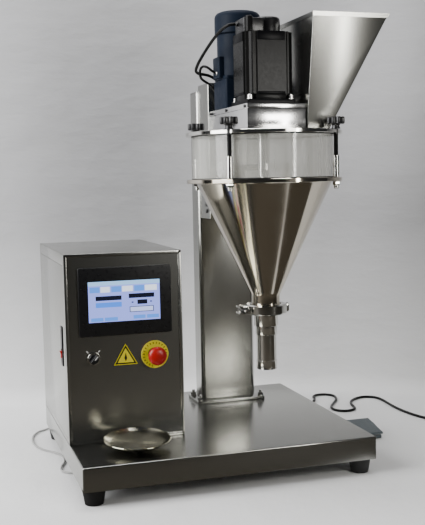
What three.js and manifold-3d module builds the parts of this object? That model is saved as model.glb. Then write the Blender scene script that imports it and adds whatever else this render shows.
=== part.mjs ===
// A bench-top auger filler: a flat base that carries a control box and a column, and a gear housing on the
// column that holds a clear hopper with a cone, a metering screw, its servo motor, a stirrer and its motor.
// Millimetres, +Z up. Parts are placed from the base's left edge (X), its front edge (Y) and the table (Z),
// and the last section moves them all so that the origin lies under the middle of the whole object.

import * as THREE from "three";
import { mergeVertices } from "three/addons/utils/BufferGeometryUtils.js";
import Module from "manifold-3d";

const wasm = await Module();
wasm.setup();

// ---------------------------------------------------------------- driving dimensions

const GAP = 0.3; // clearance between parts that touch
const FIT = 0.5; // clearance round a panel or a pin in its hole
const ROUND = 48; // facets round the hopper

const BASE = { x1: 632, y1: 560, z0: 32, z1: 82, sheet: 2, lip: 16, edge: 3 };
const FOOT = { inset: 26, top: 24, bottom: 19, height: 31.7, stud: 5 };

const BOX = { x0: 0, x1: 253, y0: 165, y1: 560, z0: 82.3, z1: 487, sheet: 2, lip: 7 };
const PANEL_Y = BOX.y0 + 3; // front face of the recessed front panel
const DOOR = { y0: 180, y1: 550, z0: 93, z1: 463 };
const HMI = { x: 28.5, z1: 457.2, w: 200, h: 145.5, r: 4, proud: 6, deep: 36 };
const ESTOP = { x: 190.4, z: 264.2, plate: 30, head: 20, stem: 8, travel: 5 };
const SELECTOR = { x: 57, z: 264, bezel: 14.5, knob: 10, bar: 4.5, angle: -40 };
const SWITCH = { y0: 206, y1: 228, z0: 245, z1: 330, rocker: 271, pivot: 3, tilt: 9 };
const GLANDS = { mains: 190, foot: 65, z: 115 };

const COLUMN = { x0: 375, x1: 515, y0: 439, y1: 499, r: 10, wall: 4, top: 849 };
const PLATE = { x0: 357, x1: 532, y0: 411, y1: 507, t: 6, boltX: 8.7, boltY: 11 };
const HEAD = { x0: 379.5, x1: 510.5, z0: 542, z1: 862, wall: 4 };

const AXIS = { x: 445, y: 162 }; // hopper, screw and servo
const STIR = { x: 426, y: 269 }; // stirrer motor
const ARM = { x0: 379.5, x1: 510.5, y0: 80, y1: 356, z0: 737, z1: 793, wall: 8, cover: 10.5 };

const HOPPER = { flange: 170, top: 636.3, t: 9, out: 156.5, wall: 5, lid: 736.7, lidT: 8 };
const CONE = { top: 147.5, neck: 31, neckZ: 380.5, wall: 2.2 };
const FERRULE = { r: 42, z: 349, t: 3.6, taper: 3.5 };
const CLAMP = { r: 46, lip: 33, z0: 338, z1: 360, boltX: 388, boltY: 171, boltR: 3 };
const ROD = { circle: 167, r: 5, sleeve: 7, head: 8 };
const KNOB = { r: 19.5, hub: 9, low: 10, high: 25 }; // heights above the lid
const NOZZLE = { end: 214, collar: 233.5, bore: 19.8 };
const SCREW = { shaft: 8, flight: 18.6, pitch: 26, z0: 222, z1: 378, t: 2 };
const FUNNEL = { z0: 737, z1: 978, t: 2 };
const FUNNEL_FOOT = { x0: 515, x1: 566, y0: 84, y1: 192 };
const FUNNEL_RIM = { x0: 515, x1: 688, y0: 44, y1: 232 };

const SERVO = { half: 55, z0: 793.3, flange: 804, body: 815, cover: 927, top: 946, bolt: 46 };
const ENCODER = { x: 457, r: 28, top: 982 };
const STIR_MOTOR = { gear: 45, gearTop: 858, r: 47, top: 960, fan: 52, fanTop: 1009 };
const PULLEY = { z0: 754, z1: 773, motor: 24, stirrer: 40, rim: 3, belt: 3 };

const PEDAL = { x0: 665, x1: 771, y0: 236, y1: 318, front: 16, back: 32 };
const DISH = { x: 130, y: 92, r: 70, foot: 17, rim: 105, tilt: 3 };
const MAINS = { r: 3.5, coilX: 1030, coilY: 250, coilIn: 31.2, coilOut: 45.8, coilTop: 14.6 };
const LEAD = { r: 2.25 };

// ---------------------------------------------------------------- shape helpers

// Faces turned outwards: a closed shell's signed volume is positive when they are.
function outward(geometry) {
  const merged = new THREE.BufferGeometry();
  merged.setAttribute("position", geometry.getAttribute("position"));
  if (geometry.index) merged.setIndex(geometry.index);
  const welded = mergeVertices(merged, 1e-3);
  const index = welded.index.array;
  const at = (i) => new THREE.Vector3().fromBufferAttribute(welded.attributes.position, index[i]);
  let volume = 0;
  for (let i = 0; i < index.length; i += 3) volume += at(i).dot(at(i + 1).cross(at(i + 2)));
  if (volume < 0) {
    for (let i = 0; i < index.length; i += 3) [index[i], index[i + 1]] = [index[i + 1], index[i]];
  }
  return welded;
}

function solid(shape) {
  if (!shape.isBufferGeometry) return shape;
  const geometry = outward(shape);
  return new wasm.Manifold(
    new wasm.Mesh({
      numProp: 3,
      vertProperties: geometry.attributes.position.array,
      triVerts: new Uint32Array(geometry.index.array),
    }),
  );
}

const join = (...shapes) => shapes.map(solid).reduce((all, one) => all.add(one));
const cut = (shape, ...tools) => tools.map(solid).reduce((all, tool) => all.subtract(tool), solid(shape));

function geometryOf(shape) {
  if (shape.isBufferGeometry) return outward(shape);
  const mesh = shape.getMesh();
  const geometry = new THREE.BufferGeometry();
  geometry.setAttribute("position", new THREE.BufferAttribute(mesh.vertProperties, 3));
  geometry.setIndex(new THREE.BufferAttribute(mesh.triVerts, 1));
  return geometry;
}

function block(x0, x1, y0, y1, z0, z1) {
  const geometry = new THREE.BoxGeometry(x1 - x0, y1 - y0, z1 - z0);
  return geometry.translate((x0 + x1) / 2, (y0 + y1) / 2, (z0 + z1) / 2);
}

function roundedRect(x0, x1, y0, y1, r) {
  const shape = new THREE.Shape();
  shape.moveTo(x0 + r, y0);
  shape.absarc(x1 - r, y0 + r, r, -Math.PI / 2, 0, false);
  shape.absarc(x1 - r, y1 - r, r, 0, Math.PI / 2, false);
  shape.absarc(x0 + r, y1 - r, r, Math.PI / 2, Math.PI, false);
  shape.absarc(x0 + r, y0 + r, r, Math.PI, 1.5 * Math.PI, false);
  return shape;
}

function outline(points) {
  return new THREE.Shape(points.map(([x, y]) => new THREE.Vector2(x, y)));
}

// An outline in X and Y raised from z0 to z1, with its edges rounded by bevel where that is given.
function prism(shape, z0, z1, bevel = 0, segments = 4) {
  const geometry = new THREE.ExtrudeGeometry(shape, {
    depth: z1 - z0 - 2 * bevel,
    curveSegments: segments,
    bevelEnabled: bevel > 0,
    bevelThickness: bevel,
    bevelSize: bevel,
    bevelOffset: -bevel,
    bevelSegments: 2,
  });
  return geometry.translate(0, 0, z0 + bevel);
}

// An outline in X and Z, from y0 back to y1.
function frontPrism(shape, y0, y1, bevel = 0, segments = 4) {
  return prism(shape, 0, y1 - y0, bevel, segments).rotateX(Math.PI / 2).translate(0, y1, 0);
}

// An outline in Y and Z, from x0 right to x1.
function sidePrism(shape, x0, x1) {
  const geometry = prism(shape, 0, x1 - x0);
  return geometry.rotateZ(Math.PI / 2).rotateY(Math.PI / 2).translate(x0, 0, 0);
}

// A round body about a vertical line, from pairs of radius and height.
function turned(x, y, pairs, segments = 32) {
  const points = pairs.map(([r, z]) => new THREE.Vector2(r, z));
  points.push(points[0].clone());
  return new THREE.LatheGeometry(points, segments).rotateX(Math.PI / 2).translate(x, y, 0);
}

// A round body about a line that runs back from (x, z), from pairs of radius and Y.
function turnedBack(x, z, pairs, segments = 32) {
  const points = pairs.map(([r, y]) => new THREE.Vector2(r, y));
  points.push(points[0].clone());
  return new THREE.LatheGeometry(points, segments).translate(x, 0, z);
}

const rod = (x, y, r, z0, z1, segments = 16) =>
  turned(x, y, [[0, z0], [r, z0], [r, z1], [0, z1]], segments);
const rodBack = (x, z, r, y0, y1, segments = 16) =>
  turnedBack(x, z, [[0, y0], [r, y0], [r, y1], [0, y1]], segments);
const ring = (x, y, inner, outer, z0, z1, segments = 32) =>
  turned(x, y, [[inner, z0], [outer, z0], [outer, z1], [inner, z1]], segments);

function hexPrism(x, y, r, z0, z1) {
  return new THREE.CylinderGeometry(r, r, z1 - z0, 6).rotateX(Math.PI / 2).translate(x, y, (z0 + z1) / 2);
}

// A four-sided frustum between two rectangles.
function frustum(low, high, z0, z1) {
  const corners = [];
  for (const [rect, z] of [[low, z0], [high, z1]]) {
    corners.push(rect.x0, rect.y0, z, rect.x1, rect.y0, z, rect.x1, rect.y1, z, rect.x0, rect.y1, z);
  }
  const geometry = new THREE.BufferGeometry();
  geometry.setAttribute("position", new THREE.BufferAttribute(new Float32Array(corners), 3));
  geometry.setIndex([
    0, 2, 1, 0, 3, 2, 4, 5, 6, 4, 6, 7, 0, 1, 5, 0, 5, 4,
    1, 2, 6, 1, 6, 5, 2, 3, 7, 2, 7, 6, 3, 0, 4, 3, 4, 7,
  ]);
  return geometry;
}

// A round cable of radius r along a smooth curve through the points.
function cable(points, r, steps, sides = 8) {
  const section = new THREE.Shape();
  section.absarc(0, 0, r, 0, 2 * Math.PI, false);
  const places = points.map((p) => new THREE.Vector3(...p));
  const curve = new THREE.CatmullRomCurve3(places, false, "centripetal");
  return new THREE.ExtrudeGeometry(section, {
    steps,
    extrudePath: curve,
    curveSegments: sides / 2,
    bevelEnabled: false,
  });
}

// ---------------------------------------------------------------- materials

const finish = (color, roughness, metalness) => ({ color, roughness, metalness });
const STAINLESS = finish(0x8f8d88, 0.32, 1);
const POLISHED = finish(0xb4b2ad, 0.15, 1);
const ALUMINIUM = finish(0xd8d8d6, 0.35, 1);
const BLACK_METAL = finish(0x1b1c1d, 0.5, 0.4);
const BLACK_PLASTIC = finish(0x161616, 0.45, 0);
const RUBBER = finish(0x151515, 0.85, 0);
const BLUE_PAINT = finish(0x14283c, 0.45, 0.2);
const HAMMERTONE = finish(0x55646a, 0.55, 0.2);
const RED = finish(0xc41e1a, 0.4, 0);
const YELLOW = finish(0xe6c619, 0.45, 0);
const ACRYLIC = finish(0xdadad4, 0.2, 0);

const machine = new THREE.Group();

function piece(name, shape, material) {
  const mesh = new THREE.Mesh(geometryOf(shape), new THREE.MeshStandardMaterial(material));
  mesh.name = name;
  machine.add(mesh);
  return mesh;
}

// ---------------------------------------------------------------- base and feet

const footPlaces = {
  front_left: [FOOT.inset, FOOT.inset + 4],
  front_right: [BASE.x1 - FOOT.inset, FOOT.inset + 4],
  rear_left: [FOOT.inset, BASE.y1 - FOOT.inset - 4],
  rear_right: [BASE.x1 - FOOT.inset, BASE.y1 - FOOT.inset - 4],
};

// A folded sheet tray turned upside down: its lower edge turns in, and wider at the corners for the feet.
function basePan() {
  const { x1, y1, z0, z1, sheet, lip, edge } = BASE;
  const gusset = 62;
  const low = z0 - 1;
  const high = z0 + sheet;
  const holes = Object.values(footPlaces).map(([x, y]) => rod(x, y, FOOT.stud + GAP, low, high + 1));
  return cut(
    prism(roundedRect(0, x1, 0, y1, edge + 1), z0, z1, edge, 2),
    block(sheet, x1 - sheet, sheet, y1 - sheet, high, z1 - sheet),
    block(lip, x1 - lip, gusset, y1 - gusset, low, high + 1),
    block(gusset, x1 - gusset, lip, y1 - lip, low, high + 1),
    ...holes,
  );
}
piece("base_pan", basePan(), STAINLESS);

// A tapered rubber foot with a recess underneath and a moulded-in stud with its nut inside the base.
function foot(x, y) {
  const studTop = 50;
  const nut = hexPrism(x, y, 9.5, BASE.z0 + BASE.sheet + GAP, BASE.z0 + BASE.sheet + 8);
  const rubber = turned(x, y, [
    [0, 5], [8, 5], [8, 0], [FOOT.bottom - 1, 0], [FOOT.bottom, 1], [FOOT.top, FOOT.height - 2],
    [FOOT.top, FOOT.height], [0, FOOT.height],
  ], 16);
  return join(rubber, rod(x, y, FOOT.stud, FOOT.height - 1, studTop), nut);
}
for (const [place, [x, y]] of Object.entries(footPlaces)) {
  piece("foot_" + place, foot(x, y), RUBBER);
}

// ---------------------------------------------------------------- column and arm

const plateZ = BASE.z1 + GAP;

// The column's foot plate with its four bolts through it.
function footPlate() {
  const { x0, x1, y0, y1, t, boltX, boltY } = PLATE;
  const top = plateZ + t;
  const parts = [prism(roundedRect(x0, x1, y0, y1, 5), plateZ, top)];
  for (const x of [x0 + boltX, x1 - boltX]) {
    for (const y of [y0 + boltY, y1 - boltY - 8]) {
      parts.push(rod(x, y, 7.8, top - 1, top + 2, 12), hexPrism(x, y, 7.5, top + 1, top + 9));
      parts.push(rod(x, y, 4, top + 8, top + 15, 8));
    }
  }
  return join(...parts);
}
piece("column_foot_plate", footPlate(), STAINLESS);

// A tube with its top end closed by a welded plate.
function columnTube() {
  const { x0, x1, y0, y1, r, wall, top } = COLUMN;
  const shape = roundedRect(x0, x1, y0, y1, r);
  shape.holes.push(roundedRect(x0 + wall, x1 - wall, y0 + wall, y1 - wall, r - wall));
  const tube = prism(shape, plateZ + PLATE.t + GAP, top - 2);
  return join(tube, prism(roundedRect(x0, x1, y0, y1, r), top - 3, top));
}
piece("column_tube", columnTube(), STAINLESS);

// The bracket on the column's front that the gear housing is bolted to: a box with an open back.
function mountingHead() {
  const { x0, x1, z0, z1, wall } = HEAD;
  const y0 = ARM.y1 + GAP;
  const y1 = COLUMN.y0 - GAP;
  return cut(
    prism(roundedRect(x0, x1, y0, y1, 2), z0, z1),
    block(x0 + wall, x1 - wall, y0 + wall, y1 + 1, z0 + wall, z1 - wall),
  );
}
piece("mounting_head", mountingHead(), STAINLESS);

// The gear housing is an open-topped block, closed by its cover plate.
function gearHousing() {
  const { x0, x1, y0, y1, z0, z1, wall, cover } = ARM;
  return cut(
    block(x0, x1, y0, y1, z0, z1 - cover - GAP),
    block(x0 + wall, x1 - wall, y0 + wall, y1 - wall, z0 + wall, z1),
    rod(AXIS.x, AXIS.y, 16, z0 - 1, z0 + wall + 1, 24),
  );
}
piece("gear_housing", gearHousing(), ALUMINIUM);

function gearHousingCover() {
  const { x0, x1, y0, y1, z1, cover } = ARM;
  const low = z1 - cover;
  return cut(
    block(x0, x1, y0, y1, low, z1),
    rod(AXIS.x, AXIS.y, 20, low - 1, z1 + 1, 24),
    rod(STIR.x, STIR.y, 14, low - 1, z1 + 1, 24),
  );
}
piece("gear_housing_cover", gearHousingCover(), ALUMINIUM);

// ---------------------------------------------------------------- hopper

const rodAngles = { front_left: 225, front_right: 315, rear_left: 135, rear_right: 45 };
const rodPlaces = {};
for (const [place, degrees] of Object.entries(rodAngles)) {
  const angle = THREE.MathUtils.degToRad(degrees);
  const offset = new THREE.Vector2(ROD.circle, 0).rotateAround(new THREE.Vector2(), angle);
  rodPlaces[place] = { x: AXIS.x + offset.x, y: AXIS.y + offset.y, angle };
}

// The open slots at a flange's rim that the tie rods sit in.
function rodSlots(z0, z1) {
  const r = ROD.r + FIT;
  return Object.values(rodPlaces).map(({ angle }) => {
    const round = rod(ROD.circle, 0, r, z0, z1);
    const mouth = block(ROD.circle, ROD.circle + 20, -r, r, z0, z1);
    const turn = [0, 0, THREE.MathUtils.radToDeg(angle)];
    return join(round, mouth).rotate(turn).translate([AXIS.x, AXIS.y, 0]);
  });
}

function hopperLid() {
  const { flange, lid, lidT } = HOPPER;
  const z0 = lid - lidT;
  const { x0, x1, y0, y1 } = FUNNEL_FOOT;
  return cut(
    rod(AXIS.x, AXIS.y, flange, z0, lid, ROUND),
    rod(AXIS.x, AXIS.y, 16, z0 - 1, lid + 1, 24),
    block(x0 + 3, x1 - 3, y0 + 3, y1 - 3, z0 - 1, lid + 1),
    ...rodSlots(z0 - 1, lid + 1),
  );
}
piece("hopper_lid", hopperLid(), STAINLESS);

function clearCylinder() {
  const { out, wall, top, lid, lidT } = HOPPER;
  return ring(AXIS.x, AXIS.y, out - wall, out, top + GAP, lid - lidT - GAP, ROUND);
}
piece("clear_cylinder", clearCylinder(), ACRYLIC);

// The lower flange, the cone and the outlet are welded into one vessel; each is its own solid here.
function hopperFlange() {
  const { flange, top, t } = HOPPER;
  return cut(
    ring(AXIS.x, AXIS.y, CONE.top - CONE.wall, flange, top - t, top, ROUND),
    ...rodSlots(top - t - 1, top + 1),
  );
}
piece("hopper_flange", hopperFlange(), POLISHED);

function hopperCone() {
  const { neck, neckZ, wall } = CONE;
  const top = HOPPER.top - HOPPER.t - GAP;
  return turned(AXIS.x, AXIS.y, [
    [CONE.top, top], [neck, neckZ], [neck - wall, neckZ], [CONE.top - wall, top],
  ], ROUND);
}
piece("hopper_cone", hopperCone(), POLISHED);

// A short neck that ends in the upper clamp ferrule.
function hopperOutlet() {
  const { neck, neckZ, wall } = CONE;
  const z0 = FERRULE.z + GAP / 2;
  const z1 = neckZ - GAP;
  return turned(AXIS.x, AXIS.y, [
    [neck - wall, z1], [neck, z1], [neck, z0 + FERRULE.t + FERRULE.taper], [FERRULE.r, z0 + FERRULE.t],
    [FERRULE.r, z0], [neck - wall, z0],
  ], ROUND);
}
piece("hopper_outlet", hopperOutlet(), POLISHED);

// A tie rod has a hexagonal head under the lower flange, a smooth sleeve above it and a threaded top.
function tieRod({ x, y }) {
  const under = HOPPER.top - HOPPER.t - GAP;
  return join(
    hexPrism(x, y, ROD.head, under - 8, under),
    rod(x, y, ROD.r, under - 1, HOPPER.lid + KNOB.low + 1, 12),
    rod(x, y, ROD.sleeve, HOPPER.top + GAP, HOPPER.top + 46, 12),
  );
}

// An eight-lobed knob with a hub that bears on the lid.
function starKnob({ x, y }) {
  const star = new THREE.Shape();
  const lobes = 8;
  for (let i = 0; i < 4 * lobes; i += 1) {
    const r = i % 4 < 2 ? KNOB.r : KNOB.r - 4.5;
    const a = ((i + 0.5) * 2 * Math.PI) / (4 * lobes);
    const [px, py] = [x + r * Math.cos(a), y + r * Math.sin(a)];
    if (i === 0) star.moveTo(px, py);
    else star.lineTo(px, py);
  }
  const z0 = HOPPER.lid + GAP;
  return cut(
    join(prism(star, z0 + KNOB.low, z0 + KNOB.high), rod(x, y, KNOB.hub, z0, z0 + KNOB.low + 1, 20)),
    rod(x, y, ROD.r + FIT, z0 - 1, z0 + KNOB.low + 3, 12),
  );
}
for (const [place, spot] of Object.entries(rodPlaces)) {
  piece("tie_rod_" + place, tieRod(spot), POLISHED);
  piece("star_knob_" + place, starKnob(spot), BLACK_PLASTIC);
}

// The infeed funnel has an upright left side; its other three sides flare upwards.
function infeedFunnel() {
  const { z0, z1, t } = FUNNEL;
  const inset = (rect) => ({ x0: rect.x0 + t, x1: rect.x1 - t, y0: rect.y0 + t, y1: rect.y1 - t });
  const at = (z) => {
    const share = (z - z0) / (z1 - z0);
    const mix = (key) => THREE.MathUtils.lerp(FUNNEL_FOOT[key], FUNNEL_RIM[key], share);
    return { x0: mix("x0"), x1: mix("x1"), y0: mix("y0"), y1: mix("y1") };
  };
  return cut(
    frustum(FUNNEL_FOOT, FUNNEL_RIM, z0, z1),
    frustum(inset(at(z0 - 1)), inset(at(z1 + 1)), z0 - 1, z1 + 1),
  );
}
piece("infeed_funnel", infeedFunnel(), STAINLESS);

// ---------------------------------------------------------------- nozzle and its clamp

function nozzleTube() {
  const z1 = FERRULE.z - GAP / 2;
  return turned(AXIS.x, AXIS.y, [
    [CONE.neck - CONE.wall, z1], [FERRULE.r, z1], [FERRULE.r, z1 - FERRULE.t],
    [CONE.neck, z1 - FERRULE.t - FERRULE.taper], [26.3, z1 - FERRULE.t - FERRULE.taper], [26.3, 311],
    [23.5, 309], [23.5, 292], [21.7, 290], [21.7, NOZZLE.collar], [22.6, NOZZLE.collar - 1],
    [22.6, NOZZLE.end], [NOZZLE.bore, NOZZLE.end], [NOZZLE.bore, 332],
  ], 28);
}
piece("nozzle_tube", nozzleTube(), POLISHED);

// Half of the clamp's ring, whose groove holds the two ferrules together.
function clampHalf(side) {
  const { r, lip, z0, z1, boltX } = CLAMP;
  const groove = FERRULE.t + 0.8;
  const body = turned(AXIS.x, AXIS.y, [
    [lip, z0], [r, z0], [r, z1], [lip, z1], [lip, z1 - 2.6], [FERRULE.r + 1, FERRULE.z + groove],
    [FERRULE.r + 1, FERRULE.z - groove], [lip, z0 + 2.6],
  ], 36);
  const front = side === "front";
  const split = front ? AXIS.y - FIT : AXIS.y + FIT;
  const away = front ? split + 60 : split - 60;
  const half = cut(body, block(380, 510, Math.min(split, away), Math.max(split, away), z0 - 1, z1 + 1));
  const [earNear, earFar] = front ? [split - 13, split] : [split, split + 15];
  const ear = cut(
    block(boltX - 8, AXIS.x - r + 2.5, earNear, earFar, z0 + 2, z1 - 2),
    block(boltX - 9, boltX + 6.5, earNear - 1, earFar + 1, FERRULE.z - 4.2, FERRULE.z + 4.2),
  );
  const hinge = block(AXIS.x + r - 2.5, AXIS.x + r + 6, Math.min(split, split + (front ? -8 : 8)),
    Math.max(split, split + (front ? -8 : 8)), z0 + 3, z1 - 3);
  if (front) return join(half, ear, hinge);
  return cut(join(half, ear, hinge), rod(boltX, CLAMP.boltY, 2.5, z0, z1, 12));
}
piece("clamp_front_half", clampHalf("front"), STAINLESS);
piece("clamp_rear_half", clampHalf("rear"), STAINLESS);

// The swing bolt turns on its pin in the rear ear and lies in the front ear's open slot.
function swingBolt() {
  const { boltX, boltY, boltR, z0, z1 } = CLAMP;
  return join(
    rod(boltX, boltY, 5.5, FERRULE.z - 3.6, FERRULE.z + 3.6, 20),
    rod(boltX, boltY, 2, z0 + 1, z1 - 1, 12),
    rodBack(boltX, FERRULE.z, boltR, boltY - 38, boltY, 12),
  );
}
piece("clamp_swing_bolt", swingBolt(), STAINLESS);

function wingNut() {
  const x = CLAMP.boltX;
  const y1 = AXIS.y - FIT - 13 - 4 * FIT;
  const wings = outline([[x - 12.5, 4], [x - 6, -4], [x + 6, -4], [x + 12.5, 4], [x + 9, 6], [x - 9, 6]]);
  const blade = frontPrism(wings, y1 - 7, y1 - 3).translate(0, 0, FERRULE.z - 1);
  return cut(
    join(rodBack(x, FERRULE.z, 6.2, y1 - 8, y1, 20), blade),
    rodBack(x, FERRULE.z, CLAMP.boltR + FIT, y1 - 9, y1 + 1, 12),
  );
}
piece("clamp_wing_nut", wingNut(), BLACK_METAL);

// ---------------------------------------------------------------- metering screw and stirrer

// A flight is a thin bar's section carried up a helix, closed by its two end faces.
function flight({ shaft, flight: out, pitch, z0, z1, t }) {
  const perTurn = 14;
  const steps = Math.round(((z1 - z0) / pitch) * perTurn);
  const position = [];
  const index = [];
  for (let i = 0; i <= steps; i += 1) {
    const a = (i * 2 * Math.PI) / perTurn;
    const z = z0 + ((z1 - z0 - t) * i) / steps;
    for (const [r, up] of [[shaft - 2, 0], [out, 0], [out, t], [shaft - 2, t]]) {
      position.push(AXIS.x + r * Math.cos(a), AXIS.y + r * Math.sin(a), z + up);
    }
    if (i === 0) continue;
    const [near, far] = [4 * (i - 1), 4 * i];
    for (let k = 0; k < 4; k += 1) {
      const next = (k + 1) % 4;
      index.push(near + k, near + next, far + next, near + k, far + next, far + k);
    }
  }
  const last = 4 * steps;
  index.push(0, 2, 1, 0, 3, 2, last, last + 1, last + 2, last, last + 2, last + 3);
  const geometry = new THREE.BufferGeometry();
  geometry.setAttribute("position", new THREE.BufferAttribute(new Float32Array(position), 3));
  geometry.setIndex(index);
  return geometry;
}
piece(
  "auger_screw",
  join(rod(AXIS.x, AXIS.y, SCREW.shaft, SCREW.z0, 790), flight(SCREW)),
  POLISHED,
);

// The stirrer's hollow shaft turns round the screw's shaft; its two frames follow the cone's wall.
function stirrer() {
  const blade = outline([[-11, 668], [-141, 668], [-136, 622], [-29, 392], [-15, 404], [-121, 630],
    [-121, 654], [-11, 654]]);
  const frame = sidePrism(blade, -2.5, 2.5);
  const other = frame.clone().rotateZ(Math.PI);
  const place = (shape) => shape.translate(AXIS.x, AXIS.y, 0);
  return cut(
    join(rod(AXIS.x, AXIS.y, 13.5, 640, 776, 24), place(frame), place(other)),
    rod(AXIS.x, AXIS.y, 10.5, 639, 777, 24),
  );
}
piece("stirrer", stirrer(), POLISHED);

function pulley({ x, y }, r, bore) {
  const { z0, z1, rim } = PULLEY;
  return turned(x, y, [[bore, z0], [r + rim, z0], [r + rim, z0 + 1.5], [r, z0 + 1.5], [r, z1 - 1.5],
    [r + rim, z1 - 1.5], [r + rim, z1], [bore, z1]], 28);
}
piece("stirrer_pulley", pulley(AXIS, PULLEY.stirrer, 13.5 + GAP), ALUMINIUM);
piece("motor_pulley", join(pulley(STIR, PULLEY.motor, 6), rod(STIR.x, STIR.y, 7, 750, 792.7)), ALUMINIUM);

// The belt's outline is the two pulleys' outer tangents and the arcs between them.
function beltLoop(grow) {
  const small = PULLEY.motor + grow;
  const large = PULLEY.stirrer + grow;
  const span = new THREE.Vector2(STIR.x - AXIS.x, STIR.y - AXIS.y);
  const lean = Math.acos((large - small) / span.length());
  const along = span.angle();
  const shape = new THREE.Shape();
  shape.absarc(STIR.x, STIR.y, small, along - lean, along + lean, false);
  shape.absarc(AXIS.x, AXIS.y, large, along + lean, along - lean + 2 * Math.PI, false);
  return shape;
}
function driveBelt() {
  const shape = beltLoop(GAP + PULLEY.belt);
  shape.holes.push(beltLoop(GAP + 0.1));
  return prism(shape, PULLEY.z0 + 2.5, PULLEY.z1 - 2.5, 0, 10);
}
piece("drive_belt", driveBelt(), RUBBER);

// ---------------------------------------------------------------- servo motor

// The servo's section: four flat faces, and two ribs down each cut-away corner, clear of the bolts.
const SERVO_CORNER = [
  [31, -55], [32.5, -50], [36, -50], [37, -52.5], [40.5, -52.5], [41.5, -45.5],
  [45.5, -41.5], [52.5, -40.5], [52.5, -37], [50, -36], [50, -32.5], [55, -31],
];
function servoSection({ x, y }) {
  const points = [];
  for (let turn = 0; turn < 4; turn += 1) {
    for (const corner of SERVO_CORNER) {
      const [u, v] = new THREE.Vector2(...corner).rotateAround(new THREE.Vector2(), (turn * Math.PI) / 2);
      points.push([x + u, y + v]);
    }
  }
  return outline(points);
}
function servoBody() {
  const { half, z0, flange, body, cover, top, bolt } = SERVO;
  const { x, y } = AXIS;
  const waist = 33.5;
  const face = 31;
  const parts = [
    prism(roundedRect(x - half, x + half, y - half, y + half, 4), z0, flange),
    block(x - waist, x + waist, y - half, y + half, flange - 1, body + 1),
    block(x - half, x + half, y - waist, y + waist, flange - 1, body + 1),
    prism(servoSection(AXIS), body, top),
    block(x - face, x + face, y - half - 1.2, y + half + 1.2, cover, top),
    block(x - half - 1.2, x + half + 1.2, y - face, y + face, cover, top),
  ];
  for (const sx of [-bolt, bolt]) {
    for (const sy of [-bolt, bolt]) parts.push(rod(x + sx, y + sy, 6, flange - 1, flange + 10, 12));
  }
  return cut(join(...parts), rod(x, y, 12, z0 - 1, z0 + 4));
}
piece("servo_motor", servoBody(), BLACK_METAL);

// The encoder's round cap, with the cable's connector beside it.
function encoderCap() {
  const { x, r, top } = ENCODER;
  const z0 = SERVO.top + GAP;
  return join(
    turned(x, AXIS.y, [[0, z0], [r, z0], [r, top - 5], [r - 5, top], [0, top]], 28),
    prism(roundedRect(392, x - 20, 128, 186, 3), z0, top - 6),
    rod(402, 124, 8, z0, top - 3, 16),
    rod(0, 0, 5, -4, 1, 12).rotateY(Math.PI / 2).translate(392, 168, 967),
  );
}
piece("servo_encoder_cap", encoderCap(), BLACK_PLASTIC);

// ---------------------------------------------------------------- stirrer's gear motor

function gearhead() {
  const { gear, gearTop } = STIR_MOTOR;
  const { x, y } = STIR;
  return prism(roundedRect(x - gear, x + gear, y - gear, y + gear, 5), ARM.z1 + GAP, gearTop);
}
piece("stirrer_gearhead", gearhead(), BLUE_PAINT);

// The motor's body carries its terminal box on the left.
function stirrerMotor() {
  const { r, gearTop, top } = STIR_MOTOR;
  const side = STIR.x - r;
  return join(
    rod(STIR.x, STIR.y, r, gearTop + GAP, top, 28),
    prism(roundedRect(side - 6, side + 20, 246, 292, 3), 862, 909),
  );
}
piece("stirrer_motor", stirrerMotor(), BLUE_PAINT);

function fanCover() {
  const { fan, fanTop } = STIR_MOTOR;
  const z0 = STIR_MOTOR.top + GAP;
  return turned(STIR.x, STIR.y, [
    [0, z0], [fan, z0], [fan, fanTop - 12], [fan - 4, fanTop - 3], [fan - 12, fanTop], [0, fanTop],
  ], 28);
}
piece("motor_fan_cover", fanCover(), BLUE_PAINT);

// Both motors' cables loop behind the motors and go down into the housing's cover.
const SERVO_CABLE = [
  [386.6, 168, 967], [375, 170, 966], [365, 180, 961], [355, 203, 948], [345, 232, 928],
  [336, 256, 907], [331, 272, 892], [331, 286, 881], [340, 297, 876], [356, 306, 875],
  [373, 317, 873], [391, 328, 866], [407, 335, 850], [416, 338, 828], [418, 338, 810],
  [418, 338, 793.5],
];
const MOTOR_CABLE = [
  [371.6, 262, 873], [362, 262, 878], [352, 264, 886], [345, 270, 889], [341, 279, 886],
  [341, 288, 877], [346, 297, 866], [357, 307, 860], [371, 318, 855], [386, 331, 846],
  [397, 339, 830], [401, 343, 812], [401, 343, 793.5],
];
piece("servo_cable", cable(SERVO_CABLE, 3.5, 40), BLACK_PLASTIC);
piece("motor_cable", cable(MOTOR_CABLE, 3, 30), BLACK_PLASTIC);

// ---------------------------------------------------------------- control box

// A sheet box with a lip round its open front, an opening for the door and two holes for the glands.
function enclosureShell() {
  const { x0, x1, y0, y1, z0, z1, sheet, lip } = BOX;
  return cut(
    block(x0, x1, y0, y1, z0, z1),
    block(x0 + sheet, x1 - sheet, y0 + sheet, y1 - sheet, z0 + sheet, z1 - sheet),
    block(x0 + lip, x1 - lip, y0 - 1, y0 + sheet + 1, z0 + lip, z1 - lip),
    block(x0 - 1, x0 + sheet + 1, DOOR.y0, DOOR.y1, DOOR.z0, DOOR.z1),
    rodBack(GLANDS.mains, GLANDS.z, 6.5, y1 - sheet - 1, y1 + 1),
    rodBack(GLANDS.foot, GLANDS.z, 4.5, y1 - sheet - 1, y1 + 1),
  );
}
piece("enclosure_shell", enclosureShell(), STAINLESS);

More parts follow.
